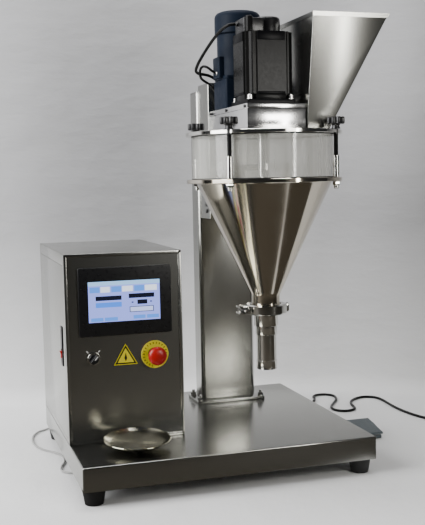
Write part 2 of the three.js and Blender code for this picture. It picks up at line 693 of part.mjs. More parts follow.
function frontPanel() {
  const { x0, x1, z0, z1, sheet } = BOX;
  const inset = sheet + FIT;
  return cut(
    block(x0 + inset, x1 - inset, PANEL_Y, PANEL_Y + 2, z0 + inset, z1 - inset),
    block(HMI.x + 8, HMI.x + HMI.w - 8, PANEL_Y - 1, PANEL_Y + 3, HMI.z1 - HMI.h + 8, HMI.z1 - 8),
    rodBack(ESTOP.x, ESTOP.z, 11.5, PANEL_Y - 1, PANEL_Y + 3, 20),
    rodBack(SELECTOR.x, SELECTOR.z, 11.5, PANEL_Y - 1, PANEL_Y + 3, 20),
  );
}
piece("front_panel", frontPanel(), STAINLESS);

// The door is a flush tray; it turns about its rear outer edge.
function sideDoor() {
  const { y0, y1, z0, z1 } = DOOR;
  const face = block(0, 2, y0 + FIT, y1 - FIT, z0 + FIT, z1 - FIT);
  const rim = block(1, 14, y0 + 6, y1 - 24, z0 + 6, z1 - 6);
  return cut(
    join(face, rim),
    block(2, 15, y0 + 8, y1 - 26, z0 + 8, z1 - 8),
    block(-1, 3, SWITCH.y0 + 3, SWITCH.y1 - 3, SWITCH.z0 + 3, SWITCH.z1 - 3),
  );
}
piece("side_door", sideDoor(), STAINLESS);

function hmiPanel() {
  const { x, z1, w, h, r, proud, deep } = HMI;
  const z0 = z1 - h;
  const screen = roundedRect(x + 20.6, x + 174.7, z0 + 29.7, z1 - 29.9, 0.5);
  return join(
    cut(
      frontPrism(roundedRect(x, x + w, z0, z1, r), PANEL_Y - proud, PANEL_Y - GAP, 2),
      frontPrism(screen, PANEL_Y - proud - 1, PANEL_Y - proud + 1),
    ),
    block(x + 8.5, x + w - 8.5, PANEL_Y - 1, PANEL_Y + deep, z0 + 8.5, z1 - 8.5),
  );
}
piece("hmi_panel", hmiPanel(), BLACK_PLASTIC);

// The emergency stop's fixed part: a round plate, a collar, the barrel and the contact block behind.
function estopBase() {
  const { x, z, plate, stem } = ESTOP;
  const face = PANEL_Y - GAP;
  return join(
    turnedBack(x, z, [[stem + FIT, PANEL_Y - 1], [stem + FIT, PANEL_Y - 15], [14, PANEL_Y - 15],
      [15, PANEL_Y - 4], [15, PANEL_Y - 2], [plate, PANEL_Y - 2], [plate, face], [11, face],
      [11, PANEL_Y + 6], [0, PANEL_Y + 6], [0, PANEL_Y + 2], [stem + FIT, PANEL_Y + 2]], 28),
    block(x - 15, x + 15, PANEL_Y + 5, PANEL_Y + 38, z - 20, z + 20),
  );
}
piece("estop_base", estopBase(), YELLOW);

function estopHead() {
  const { x, z, head, stem, travel } = ESTOP;
  const back = PANEL_Y - 15 - travel - 1;
  const end = PANEL_Y - travel - 1;
  return turnedBack(x, z, [
    [0, back - 14], [9, back - 13.2], [16, back - 10.5], [head, back - 6], [head, back - 2],
    [head - 2, back], [stem, back], [stem, end], [0, end],
  ], 24);
}
piece("estop_button", estopHead(), RED);

function selectorBezel() {
  const { x, z, bezel, knob } = SELECTOR;
  return join(
    turnedBack(x, z, [[knob + FIT, PANEL_Y - 1], [knob + FIT, PANEL_Y - 7], [bezel - 1.5, PANEL_Y - 7],
      [bezel, PANEL_Y - 5], [bezel, PANEL_Y - GAP], [11, PANEL_Y - GAP], [11, PANEL_Y + 6],
      [0, PANEL_Y + 6], [0, PANEL_Y + 1], [knob + FIT, PANEL_Y + 1]], 24),
    block(x - 15, x + 15, PANEL_Y + 5, PANEL_Y + 38, z - 20, z + 20),
  );
}
piece("selector_bezel", selectorBezel(), POLISHED);

function selectorKnob() {
  const { x, z, knob, bar, angle } = SELECTOR;
  const grip = frontPrism(roundedRect(-bar, bar, -knob, knob, 2), PANEL_Y - 20, PANEL_Y - 7);
  grip.rotateY(THREE.MathUtils.degToRad(-angle)).translate(x, 0, z);
  return join(rodBack(x, z, knob, PANEL_Y - 8, PANEL_Y, 28), grip);
}
piece("selector_knob", selectorKnob(), BLACK_PLASTIC);

// The mains switch sits in the door: a tall bezel, a body behind it, and a rocker low in the bezel.
function switchBezel() {
  const { y0, y1, z0, z1, rocker } = SWITCH;
  return cut(
    join(block(-3, -GAP, y0, y1, z0, z1), block(-1, 24, y0 + 3.5, y1 - 3.5, z0 + 3.5, z1 - 3.5)),
    block(-4, 14, y0 + 4.5, y1 - 4.5, rocker - 10, rocker + 10),
  );
}
piece("mains_switch_bezel", switchBezel(), BLACK_PLASTIC);

// The rocker's section is a shallow V; at rest its upper half stands out.
function mainsRocker() {
  const { y0, y1, rocker, pivot, tilt } = SWITCH;
  const profile = outline([[-9.5, 7.5], [-7.6, 0], [-9.5, -7.5], [2, -5], [2, 5]]);
  const body = prism(profile, 0, y1 - y0 - 10).rotateX(Math.PI / 2);
  return body.rotateY(THREE.MathUtils.degToRad(-tilt)).translate(pivot, y1 - 5, rocker);
}
piece("mains_rocker", mainsRocker(), RED);

// The control gear on its plate, on the wall that faces the door.
function equipmentPlate() {
  const { x1, z0, z1 } = BOX;
  const face = x1 - 10;
  return join(
    block(face, face + 2, 220, 545, z0 + 12, z1 - 12),
    block(face - 75, face + 1, 230, 285, 230, 420),
    block(face - 60, face + 1, 300, 390, 250, 420),
    block(face - 45, face + 1, 405, 530, 330, 420),
    block(face - 40, face + 1, 405, 530, 200, 290),
    block(face - 30, face + 1, 235, 530, 120, 160),
  );
}
piece("equipment_plate", equipmentPlate(), ALUMINIUM);

// One plate on the back carries both cable glands; the mains gland ends in a tapered relief.
function glandPlate() {
  const { mains, foot, z } = GLANDS;
  const y = BOX.y1 + GAP;
  return join(
    frontPrism(roundedRect(foot - 22, mains + 22, z - 18, z + 18, 3), y, y + 2),
    turnedBack(mains, z, [[0, y - 8], [6, y - 8], [6, y + 1], [10, y + 1], [10, y + 12], [8, y + 14],
      [8, y + 18], [5, y + 45], [0, y + 45]], 14),
    turnedBack(foot, z, [[0, y - 8], [4, y - 8], [4, y + 1], [8, y + 1], [8, y + 9], [6, y + 12],
      [6, y + 20], [0, y + 20]], 14),
  );
}
piece("gland_plate", glandPlate(), BLACK_PLASTIC);

// ---------------------------------------------------------------- loose pieces: dish and foot switch

// A shallow spun pan on a stem with a round foot; it stands a little tilted towards the front.
function dish() {
  const { x, y, r, foot: footR, rim, tilt } = DISH;
  const pan = turned(0, 0, [
    [0, -9], [56, -8], [r, -1], [r, 0.8], [r - 1.8, 0.8], [r - 2.4, -0.4], [55.4, -6.4], [0, -7.4],
  ], 36);
  return join(
    pan.rotateX(THREE.MathUtils.degToRad(tilt)).translate(x, y, rim),
    rod(x, y, 8, plateZ, rim - 8.3, 20),
    rod(x, y, footR, plateZ, plateZ + 3, 28),
  );
}
piece("dish", dish(), POLISHED);

// The foot switch's tread turns on a pin between the two cheeks at the back of its base.
const HINGE = { y: PEDAL.y1 - 12, z: 17, r: 3 };
function footSwitchBase() {
  const { x0, x1, y0, y1 } = PEDAL;
  const cheek = outline([[y1 - 26, 2], [y1, 2], [y1, 22], [y1 - 6, 25], [y1 - 18, 25], [y1 - 26, 18]]);
  return cut(
    join(
      prism(roundedRect(x0, x1, y0 + 4, y1, 6), 0, 8),
      sidePrism(cheek, x0 + 2, x0 + 7),
      sidePrism(cheek, x1 - 7, x1 - 2),
    ),
    rod(0, 0, HINGE.r + GAP, x0, x1, 16).rotateY(Math.PI / 2).translate(0, HINGE.y, HINGE.z),
  );
}
piece("foot_switch_base", footSwitchBase(), HAMMERTONE);

function footSwitchTread() {
  const { x0, x1, y0, y1, front, back } = PEDAL;
  const hood = outline([[y0, 12], [y0, front], [y1 - 2, back], [y1, back - 3], [y1, 26], [y1 - 30, 25],
    [y0 + 20, 12.5]]);
  const core = outline([[y1 - 24, 12], [y1 - 6, 12], [y1 - 6, 28], [y1 - 24, 28]]);
  const pin = rod(0, 0, HINGE.r, x0 + 3, x1 - 3, 16).rotateY(Math.PI / 2).translate(0, HINGE.y, HINGE.z);
  return join(sidePrism(hood, x0, x1), sidePrism(core, x0 + 9, x1 - 9), pin);
}
piece("foot_switch_tread", footSwitchTread(), HAMMERTONE);

// ---------------------------------------------------------------- mains cord and foot switch lead

const MAINS_ROUTE = [
  [190, 605.8, 115], [190, 626, 113], [191, 648, 101], [196, 665, 77], [206, 673, 48],
  [221, 676, 24], [243, 674, 9.5], [270, 670, 4.5], [330, 660, 3.7], [390, 652, 3.7],
  [460, 644, 3.7], [540, 634, 3.7], [620, 620, 3.7], [680, 610, 3.7], [724, 610, 3.7],
  [754, 626, 3.7], [771, 651, 3.7], [781, 683, 3.7], [792, 695, 3.7], [808, 700, 3.7],
  [824, 695, 3.7], [835, 683, 3.7], [839, 667, 3.7], [835, 648, 3.7], [823, 620, 3.7],
  [804, 594, 3.7], [787, 569, 3.7], [776, 548, 3.7], [773, 530, 3.7], [775.9, 517, 3.7],
  [784, 506, 3.7], [796, 500, 3.7], [809, 499.5, 3.7], [822, 505, 3.7], [831, 515, 3.7],
  [836, 530, 3.7], [841, 555, 3.7], [851, 582, 3.7], [867, 604, 3.7], [889, 620, 3.7],
  [912, 627, 3.7], [932, 619, 3.7], [943, 600, 3.7], [945, 570, 3.7], [942, 536, 3.7],
  [939, 500, 3.7], [938, 462, 3.7], [941, 420, 3.7], [950, 375, 3.7], [964, 338, 3.7],
  [979, 305, 3.7], [987, 285, 3.7], [988, 276.2, 3.7],
];
piece("mains_cord", cable(MAINS_ROUTE, MAINS.r, 74), RUBBER);

piece(
  "mains_cord_coil",
  ring(MAINS.coilX, MAINS.coilY, MAINS.coilIn, MAINS.coilOut, 0.2, MAINS.coilTop, 32),
  RUBBER,
);

// The plug's tapered relief meets the coil where the cord leaves it.
function mainsPlug() {
  const x = MAINS.coilX - 42;
  const z = 10.7;
  const y = MAINS.coilY - 27.2;
  const pins = [-6, 6].map((dx) => rodBack(x + dx, z, 2.2, y - 79, y - 60, 10));
  return join(
    turnedBack(x, z, [[0, y], [4, y], [7.5, y - 24], [0, y - 24]], 14),
    frontPrism(roundedRect(x - 12, x + 12, 0.4, 21, 5), y - 61, y - 23, 2),
    ...pins,
  );
}
piece("mains_plug", mainsPlug(), BLACK_PLASTIC);

const LEAD_ROUTE = [
  [65, 580.6, 115], [64.5, 592, 113.5], [62, 604, 103], [56, 612, 80], [47, 617, 50],
  [36, 620, 24], [24, 621, 8], [10, 618, 3], [-16, 598, 2.7], [-34, 560, 2.7], [-40, 510, 2.7],
  [-35, 462, 2.7], [-22, 430, 2.7], [-2, 400, 2.7], [11, 365, 2.7], [9, 320, 2.7], [-3, 284, 2.7],
  [-6, 256, 2.7], [6, 236, 2.7], [36, 226, 2.7], [100, 221, 2.7], [200, 222, 2.7], [330, 236, 2.7],
  [470, 258, 2.7], [580, 272, 2.7], [635, 276, 3], [664.5, 276, 4.2],
];
piece("foot_switch_lead", cable(LEAD_ROUTE, LEAD.r, 60), BLACK_PLASTIC);

// ---------------------------------------------------------------- the whole object

// The origin lies on the table under the middle of everything but the cords and what is on them.
const cords = ["mains_cord", "mains_cord_coil", "mains_plug", "foot_switch_lead"];
const extent = new THREE.Box3();
for (const mesh of machine.children) {
  if (!cords.includes(mesh.name)) extent.expandByObject(mesh, true);
}
const middle = extent.getCenter(new THREE.Vector3());
machine.position.set(-middle.x, -middle.y, 0);

export default machine;
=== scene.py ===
"""A bench-top auger powder filler: steel sheet, a clear hopper, two motors and two cords, on its frame."""

import math

import bmesh
import bpy
from mathutils import Matrix, Vector


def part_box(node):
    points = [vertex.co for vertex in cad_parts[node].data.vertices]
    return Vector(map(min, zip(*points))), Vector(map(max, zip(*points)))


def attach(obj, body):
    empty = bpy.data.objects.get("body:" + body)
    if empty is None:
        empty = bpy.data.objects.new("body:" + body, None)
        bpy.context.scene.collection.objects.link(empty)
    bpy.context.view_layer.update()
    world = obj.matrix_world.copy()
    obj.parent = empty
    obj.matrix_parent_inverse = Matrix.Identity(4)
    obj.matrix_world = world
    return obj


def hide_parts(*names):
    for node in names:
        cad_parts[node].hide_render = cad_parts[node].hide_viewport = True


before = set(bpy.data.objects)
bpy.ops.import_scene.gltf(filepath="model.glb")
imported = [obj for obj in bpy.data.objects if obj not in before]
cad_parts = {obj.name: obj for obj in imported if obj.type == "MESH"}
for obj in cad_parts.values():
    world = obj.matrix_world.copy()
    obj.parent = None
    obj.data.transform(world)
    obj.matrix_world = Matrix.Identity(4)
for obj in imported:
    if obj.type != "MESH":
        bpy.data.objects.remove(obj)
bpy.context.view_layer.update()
scene = bpy.context.scene

# ---------------- places
# Millimetres, from the base's left front corner on the table, as the frame's own parts are placed.

MM = 0.001
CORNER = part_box("base_pan")[0]


def at(x, y, z):
    return Vector((CORNER.x + x * MM, CORNER.y + y * MM, z * MM))


BASE_X, BASE_Y, BASE_LOW, BASE_TOP = 632, 560, 32, 82
BOX_X, BOX_FRONT, BOX_BACK, BOX_TOP = 253, 165, 560, 487
PANEL_Y = BOX_FRONT + 3
AXIS_X, AXIS_Y = 445, 162
STIR_X, STIR_Y = 426, 269
ARM_LEFT, ARM_RIGHT, ARM_FRONT, ARM_BACK = 379.5, 510.5, 80, 356
ARM_LOW, ARM_TOP = 737, 793
LID_TOP, LID_LOW = 736.7, 728.7
FLANGE_TOP, FLANGE_LOW = 636.3, 627.3
ROD_CIRCLE = 167
KNOB_LOW, KNOB_TOP = 747, 762
SERVO_HALF, SERVO_BODY, SERVO_COVER, SERVO_TOP = 55, 815, 927, 946

# ---------------- camera

YAW, PITCH, ROLL = math.radians(17.19), math.radians(5.23), math.radians(1.16)
EYE = at(-274.5, -1768.4, 641.5)
LENS = 64.09


def photo_camera():
    """The photo's own view: turned to the right, tipped down a little, and rolled a touch."""
    ahead = Vector((math.sin(YAW) * math.cos(PITCH), math.cos(YAW) * math.cos(PITCH), -math.sin(PITCH)))
    right = Vector((math.cos(YAW), -math.sin(YAW), 0))
    down = ahead.cross(right)
    across = right * math.cos(ROLL) + down * math.sin(ROLL)
    below = down * math.cos(ROLL) - right * math.sin(ROLL)
    camera = bpy.data.objects.new("camera", bpy.data.cameras.new("camera"))
    camera.data.lens = LENS
    camera.data.clip_end = 20
    camera.matrix_world = Matrix.Translation(EYE) @ Matrix((across, -below, -ahead)).transposed().to_4x4()
    scene.collection.objects.link(camera)
    scene.camera = camera


photo_camera()

# ---------------- shaders

def shader(name, colour, roughness, metallic=0.0, **inputs):
    """A principled material; inputs name further sockets, such as coat or emission."""
    material = bpy.data.materials.new(name)
    material.use_nodes = True
    surface = material.node_tree.nodes["Principled BSDF"]
    surface.inputs["Base Color"].default_value = (*colour, 1)
    surface.inputs["Roughness"].default_value = roughness
    surface.inputs["Metallic"].default_value = metallic
    for socket, value in inputs.items():
        surface.inputs[socket.replace("_", " ")].default_value = value
    return material


def noise(material, scale, stretch=(1, 1, 1), detail=4):
    """A noise texture in the piece's own coordinates, stretched into a grain where stretch is uneven."""
    nodes, links = material.node_tree.nodes, material.node_tree.links
    place = nodes.new("ShaderNodeTexCoord")
    mapping = nodes.new("ShaderNodeMapping")
    mapping.inputs["Scale"].default_value = stretch
    texture = nodes.new("ShaderNodeTexNoise")
    texture.inputs["Scale"].default_value = scale
    texture.inputs["Detail"].default_value = detail
    links.new(place.outputs["Object"], mapping.inputs["Vector"])
    links.new(mapping.outputs["Vector"], texture.inputs["Vector"])
    return texture


def vary(material, texture, socket, low, high):
    """The texture drives one socket of the surface between two values; noise keeps mostly to its middle."""
    nodes, links = material.node_tree.nodes, material.node_tree.links
    spread = nodes.new("ShaderNodeMapRange")
    spread.inputs["From Min"].default_value = 0.3
    spread.inputs["From Max"].default_value = 0.7
    spread.inputs["To Min"].default_value = low
    spread.inputs["To Max"].default_value = high
    links.new(texture.outputs["Fac"], spread.inputs["Value"])
    links.new(spread.outputs["Result"], nodes["Principled BSDF"].inputs[socket])


def roughen(material, texture, strength, distance=0.0004):
    nodes, links = material.node_tree.nodes, material.node_tree.links
    bump = nodes.new("ShaderNodeBump")
    bump.inputs["Strength"].default_value = strength
    bump.inputs["Distance"].default_value = distance
    links.new(texture.outputs["Fac"], bump.inputs["Height"])
    links.new(bump.outputs["Normal"], nodes["Principled BSDF"].inputs["Normal"])


def drawn_upright(material, amount):
    """Grain that lies flat: on an upright face each reflection is drawn out up and down."""
    nodes, links = material.node_tree.nodes, material.node_tree.links
    along = nodes.new("ShaderNodeCombineXYZ")
    for socket, value in zip(along.inputs, (0.02, 0.05, 1)):
        socket.default_value = value
    links.new(along.outputs["Vector"], nodes["Principled BSDF"].inputs["Tangent"])
    nodes["Principled BSDF"].inputs["Anisotropic"].default_value = amount


def brushed(name, colour, low, high, stretch):
    """Steel sheet with a fine grain; low and high are the ends of its roughness."""
    material = shader(name, colour, low, 1.0)
    drawn_upright(material, 0.35)
    grain = noise(material, 60, stretch, 3)
    vary(material, grain, "Roughness", low, high)
    roughen(material, grain, 0.004, 0.0002)
    return material


def mottled(name, colour, low, high, scale, bump=0.0, metallic=0.0, **inputs):
    """A surface whose roughness varies in spots between low and high."""
    material = shader(name, colour, low, metallic, **inputs)
    spots = noise(material, scale)
    vary(material, spots, "Roughness", low, high)
    if bump:
        roughen(material, spots, bump)
    return material


UPRIGHT_GRAIN = (40, 40, 0.4)
SIDEWAYS_GRAIN = (0.4, 40, 40)
STEEL = (0.4, 0.4, 0.375)
DARKER_STEEL = (0.34, 0.34, 0.32)
brushed_up = brushed("brushed_upright", STEEL, 0.23, 0.26, UPRIGHT_GRAIN)
brushed_across = brushed("brushed_across", DARKER_STEEL, 0.19, 0.22, SIDEWAYS_GRAIN)
polished = mottled("polished_steel", (0.7, 0.69, 0.65), 0.1, 0.15, 40, metallic=1.0)
drawn_upright(polished, 0.8)
cone_mirror = mottled("cone_mirror", (0.62, 0.57, 0.48), 0.08, 0.13, 18, metallic=1.0)
drawn_upright(cone_mirror, 0.7)
aluminium = mottled("satin_aluminium", (0.82, 0.82, 0.82), 0.14, 0.2, 60, metallic=1.0)
bright_screw = mottled("bright_screw", (0.75, 0.74, 0.72), 0.16, 0.24, 90, metallic=1.0)
dark_screw = mottled("dark_screw", (0.05, 0.05, 0.05), 0.26, 0.36, 90, metallic=0.8)
servo_black = mottled("servo_black", (0.004, 0.004, 0.005), 0.3, 0.38, 200, 0.01, Specular_IOR_Level=0.08)
servo_rib = mottled("servo_rib", (0.01, 0.01, 0.01), 0.2, 0.28, 200, 0.01, Specular_IOR_Level=0.1)
black_plastic = mottled("black_plastic", (0.008, 0.008, 0.009), 0.26, 0.36, 150, 0.03)
cable_black = mottled("cable_black", (0.005, 0.005, 0.005), 0.34, 0.44, 120, Specular_IOR_Level=0.2)
lead_grey = mottled("lead_grey", (0.36, 0.36, 0.35), 0.45, 0.55, 120)
rubber = mottled("rubber", (0.008, 0.008, 0.008), 0.5, 0.65, 90, 0.08)
blue_paint = mottled("blue_paint", (0.008, 0.013, 0.024), 0.45, 0.55, 60, 0.02, Specular_IOR_Level=0.08)
hammertone = mottled("hammertone", (0.075, 0.095, 0.105), 0.3, 0.5, 260, 0.5)
red_plastic = mottled("red_plastic", (0.42, 0.006, 0.005), 0.3, 0.38, 50)
yellow_plastic = mottled("yellow_plastic", (0.8, 0.68, 0.02), 0.35, 0.42, 50)
mark_white = mottled("mark_white", (0.8, 0.8, 0.78), 0.4, 0.5, 80)
board_grey = mottled("control_gear", (0.25, 0.27, 0.26), 0.4, 0.5, 60)


def clear_acrylic():
    """Slightly frosted: part of the light passes straight through, part scatters in the haze."""
    material = shader("clear_acrylic", (0.8, 0.8, 0.75), 0.07, Specular_IOR_Level=1.0)
    haze = noise(material, 5, (4, 4, 0.2), 3)
    vary(material, haze, "Alpha", 0.18, 0.42)
    return material


acrylic = clear_acrylic()


def dish_steel():
    """Steel turned on a lathe: its fine rings spread each reflection along a ray from the middle."""
    material = shader("turned_steel", (0.5, 0.48, 0.38), 0.2, 1.0, Anisotropic=0.9)
    nodes, links = material.node_tree.nodes, material.node_tree.links
    tangent = nodes.new("ShaderNodeTangent")
    tangent.direction_type = "RADIAL"
    tangent.axis = "Z"
    nodes["Principled BSDF"].inputs["Anisotropic Rotation"].default_value = 0.25
    links.new(tangent.outputs["Tangent"], nodes["Principled BSDF"].inputs["Tangent"])
    return material


# ---------------- shapes

def soften(bm, edges, width, segments=2):
    bmesh.ops.bevel(bm, geom=edges, offset=width * MM, segments=segments, profile=0.5, affect="EDGES")


def slab(x0, x1, y0, y1, z0, z1, bevel=0.0, segments=2):
    """A block with all its edges rounded."""
    bm = bmesh.new()
    bmesh.ops.create_cube(bm, size=1)
    low, high = at(x0, y0, z0), at(x1, y1, z1)
    for v in bm.verts:
        v.co = Vector(high[i] if v.co[i] > 0 else low[i] for i in range(3))
    if bevel:
        soften(bm, bm.edges[:], bevel, segments)
    return bm


def arc(x, y, r, start, end, steps):
    """Points on an arc, angles in degrees."""
    angles = [math.radians(start + (end - start) * i / steps) for i in range(steps + 1)]
    return [(x + r * math.cos(a), y + r * math.sin(a)) for a in angles]


def rounded(x0, x1, y0, y1, r, steps=5):
    """A rectangle with round corners, as an outline."""
    return (
        arc(x1 - r, y0 + r, r, -90, 0, steps) + arc(x1 - r, y1 - r, r, 0, 90, steps)
        + arc(x0 + r, y1 - r, r, 90, 180, steps) + arc(x0 + r, y0 + r, r, 180, 270, steps)
    )


PLANES = {
    "up": lambda a, b, c: at(a, b, c),
    "back": lambda a, b, c: at(a, c, b),
    "right": lambda a, b, c: at(c, a, b),
}


def prism(outline, low, high, plane="up", bevel=0.0, segments=2):
    """An outline raised from low to high; plane says which way it rises, and bevel rounds its two rims."""
    place = PLANES[plane]
    bm = bmesh.new()
    ends = [[bm.verts.new(place(a, b, c)) for a, b in outline] for c in (low, high)]
    count = len(outline)
    caps = [bm.faces.new(ends[0]), bm.faces.new(ends[1])]
    for i in range(count):
        j = (i + 1) % count
        bm.faces.new((ends[0][i], ends[0][j], ends[1][j], ends[1][i]))
    bmesh.ops.recalc_face_normals(bm, faces=bm.faces)
    if bevel:
        soften(bm, list({edge for cap in caps for edge in cap.edges}), bevel, segments)
    return bm


def hexagon(x, y, r, turn=0):
    return arc(x, y, r, turn, turn + 300, 5)


def turned(a, b, pairs, plane="up", segments=64, closed=False):
    """A body of revolution, from radius and height pairs, about the line through (a, b) the plane's way."""
    place = PLANES[plane]
    bm = bmesh.new()
    rings = []
    for r, h in pairs:
        circle = arc(a, b, r, 0, 360 - 360 / segments, segments - 1) if r else [(a, b)]
        rings.append([bm.verts.new(place(p, q, h)) for p, q in circle])
    following = rings[1:] + rings[:1] if closed else rings[1:]
    for near, far in zip(rings, following):
        for i in range(segments):
            j = (i + 1) % segments
            corners = [near[i % len(near)], near[j % len(near)], far[j % len(far)], far[i % len(far)]]
            distinct = list(dict.fromkeys(corners))
            if len(distinct) > 2:
                bm.faces.new(distinct)
    bmesh.ops.recalc_face_normals(bm, faces=bm.faces)
    return bm


def hollow(pairs, segments=128):
    """A ring or a tube on the hopper's axis: its section goes round and closes on itself."""
    return turned(AXIS_X, AXIS_Y, pairs, segments=segments, closed=True)


def rod(a, b, r, low, high, plane="up", chamfer=0.0, segments=32):
    pairs = [(0, low), (r, low), (r, high), (0, high)]
    if chamfer:
        pairs[1:3] = [(r - chamfer, low), (r, low + chamfer), (r, high - chamfer), (r - chamfer, high)]
    return turned(a, b, pairs, plane, segments)


def together(*parts):
    """Several shapes as one mesh."""
    whole = parts[0]
    for part in parts[1:]:
        scrap = bpy.data.meshes.new("scrap")
        part.to_mesh(scrap)
        part.free()
        whole.from_mesh(scrap)
        bpy.data.meshes.remove(scrap)
    return whole


def moved(bm, matrix):
    bmesh.ops.transform(bm, matrix=matrix, verts=bm.verts)
    return bm


def about(point, axis, degrees):
    """A turn about an axis through the point."""
    spin = Matrix.Rotation(math.radians(degrees), 4, axis)
    return Matrix.Translation(point) @ spin @ Matrix.Translation(-point)


def dress(obj, material, body, replaces):
    """Material, body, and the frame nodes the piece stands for."""
    obj.data.materials.append(material)
    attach(obj, body)
    if replaces:
        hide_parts(*replaces)
    return obj


def smoothed(mesh, sharp):
    """Smooth shading, but for edges that turn by more than this many degrees."""
    for polygon in mesh.polygons:
        polygon.use_smooth = True
    mesh.set_sharp_from_angle(angle=math.radians(sharp))


def piece(name, bm, material, body="frame", replaces=()):
    mesh = bpy.data.meshes.new(name)
    bm.to_mesh(mesh)
    bm.free()
    smoothed(mesh, 32)
    obj = bpy.data.objects.new(name, mesh)
    scene.collection.objects.link(obj)
    return dress(obj, material, body, replaces)


def smooth_points(points, spacing=0.004):
    """A smooth curve through the points, as evenly spaced points (centripetal Catmull-Rom)."""
    ends = [points[0] * 2 - points[1], *points, points[-1] * 2 - points[-2]]
    found = [points[0]]
    for p0, p1, p2, p3 in zip(ends, ends[1:], ends[2:], ends[3:]):
        t1 = (p1 - p0).length ** 0.5
        t2 = t1 + (p2 - p1).length ** 0.5
        t3 = t2 + (p3 - p2).length ** 0.5
        steps = max(2, round((p2 - p1).length / spacing))
        for i in range(1, steps + 1):
            t = t1 + (t2 - t1) * i / steps
            a1 = p0 * ((t1 - t) / t1) + p1 * (t / t1)
            a2 = p1 * ((t2 - t) / (t2 - t1)) + p2 * ((t - t1) / (t2 - t1))
            a3 = p2 * ((t3 - t) / (t3 - t2)) + p3 * ((t - t2) / (t3 - t2))
            b1 = a1 * ((t2 - t) / t2) + a2 * (t / t2)
            b2 = a2 * ((t3 - t) / (t3 - t1)) + a3 * ((t - t1) / (t3 - t1))
            found.append(b1 * ((t2 - t) / (t2 - t1)) + b2 * ((t - t1) / (t2 - t1)))
    return found


def flex(name, points, r, material, replaces):
    """A round cable along evenly spaced points, as one open spline."""
    data = bpy.data.curves.new(name, "CURVE")
    data.dimensions = "3D"
    data.bevel_depth = r * MM
    data.bevel_resolution = 4
    data.use_fill_caps = True
    spline = data.splines.new("POLY")
    spline.points.add(len(points) - 1)
    for slot, point in zip(spline.points, points):
        slot.co = (*point, 1)
    spline.use_smooth = True
    obj = bpy.data.objects.new(name, data)
    scene.collection.objects.link(obj)
    return dress(obj, material, "frame", replaces)


def eased(t):
    """From 0 to 1, slow at both ends."""
    t = min(max(t, 0), 1)
    return t * t * (3 - 2 * t)


# ---------------- cords
# Each route falls from its gland to the table, then goes along it at one height.

MAINS_LIES, LEAD_LIES = 3.7, 2.7
MAINS_ROUTE = [
    (190, 605.8, 115), (190, 626, 113), (191, 648, 101), (196, 665, 77), (206, 673, 48),
    (221, 676, 24), (243, 674, 9.5), (270, 670, 4.5),
] + [(x, y, MAINS_LIES) for x, y in (
    (330, 660), (390, 652), (460, 644), (540, 634), (620, 620), (680, 610), (724, 610), (754, 626),
    (771, 651), (781, 683), (792, 695), (808, 700), (824, 695), (835, 683), (839, 667), (835, 648),
    (823, 620), (804, 594), (787, 569), (776, 548), (773, 530), (775.9, 517), (784, 506), (796, 500),
    (809, 499.5), (822, 505), (831, 515), (836, 530), (841, 555), (851, 582), (867, 604), (889, 620),
    (912, 627), (932, 619), (943, 600), (945, 570), (942, 536), (939, 500), (938, 462), (941, 420),
    (950, 375), (964, 338), (979, 305), (987, 285), (988, 276.2),
)]
LEAD_ROUTE = [
    (65, 580.6, 115), (64.5, 592, 113.5), (62, 604, 103), (56, 612, 80), (47, 617, 50), (36, 620, 24),
    (24, 621, 8), (10, 618, 3),
] + [(x, y, LEAD_LIES) for x, y in (
    (-16, 598), (-34, 560), (-40, 510), (-35, 462), (-22, 430), (-2, 400), (11, 365), (9, 320),
    (-3, 284), (-6, 256), (6, 236), (36, 226), (100, 221), (200, 222), (330, 236), (470, 258),
    (580, 272),
)] + [(635, 276, 3), (664.5, 276, 4.2)]
COIL_X, COIL_Y = 1030, 250
COIL_LEFT = COIL_X - 42
COIL_TURNS = [(42, 3.9), (35, 3.9), (35, 10.9), (42, 10.9)]


def coil_points():
    """Four turns, two on two, entered and left at the coil's left, heading forwards."""
    steps = 48
    found = []
    for i in range(4 * steps + 1):
        turn = min(int(i / steps), 3)
        share = i / steps - turn
        r, z = COIL_TURNS[turn]
        if turn < 3 and share > 0.75:
            ease = eased((share - 0.75) / 0.25)
            r += (COIL_TURNS[turn + 1][0] - r) * ease
            z += (COIL_TURNS[turn + 1][1] - z) * ease
        a = math.pi + 2 * math.pi * i / steps
        found.append(at(COIL_X + r * math.cos(a), COIL_Y + r * math.sin(a), z))
    return found


def mains_cord():
    free = smooth_points([at(*p) for p in MAINS_ROUTE], 0.005)
    tail = [at(COIL_LEFT, COIL_Y - d, 10.8) for d in (7, 14, 21, 27)]
    points = free + coil_points() + tail
    cord = flex("mains_flex", points, 3.5, cable_black, replaces=("mains_cord", "mains_cord_coil"))
    plug = mains_plug()


def mains_plug():
    x, y, z = COIL_LEFT, COIL_Y - 27.2, 10.7
    relief = turned(x, z, [(0, y), (4, y), (4.6, y - 4), (4.2, y - 6), (5.4, y - 10), (4.9, y - 12),
                           (6.4, y - 17), (6, y - 19), (7.4, y - 24), (0, y - 24)], "back", 24)
    body = prism(rounded(x - 12, x + 12, 0.4, 21, 6), y - 61, y - 23, "back", 2.5, 3)
    pins = [rod(x + dx, z, 2.2, y - 79, y - 60, "back", 0.8, 16) for dx in (-6, 6)]
    shell = piece("plug_body", together(relief, body), cable_black, replaces=("mains_plug",))
    contacts = piece("plug_pins", together(*pins), bright_screw)
    return [shell, contacts]


def foot_switch_lead():
    points = smooth_points([at(*p) for p in LEAD_ROUTE])
    lead = flex("foot_switch_flex", points, 2.25, lead_grey, replaces=("foot_switch_lead",))


mains_cord()
foot_switch_lead()

# ---------------- base, feet and column

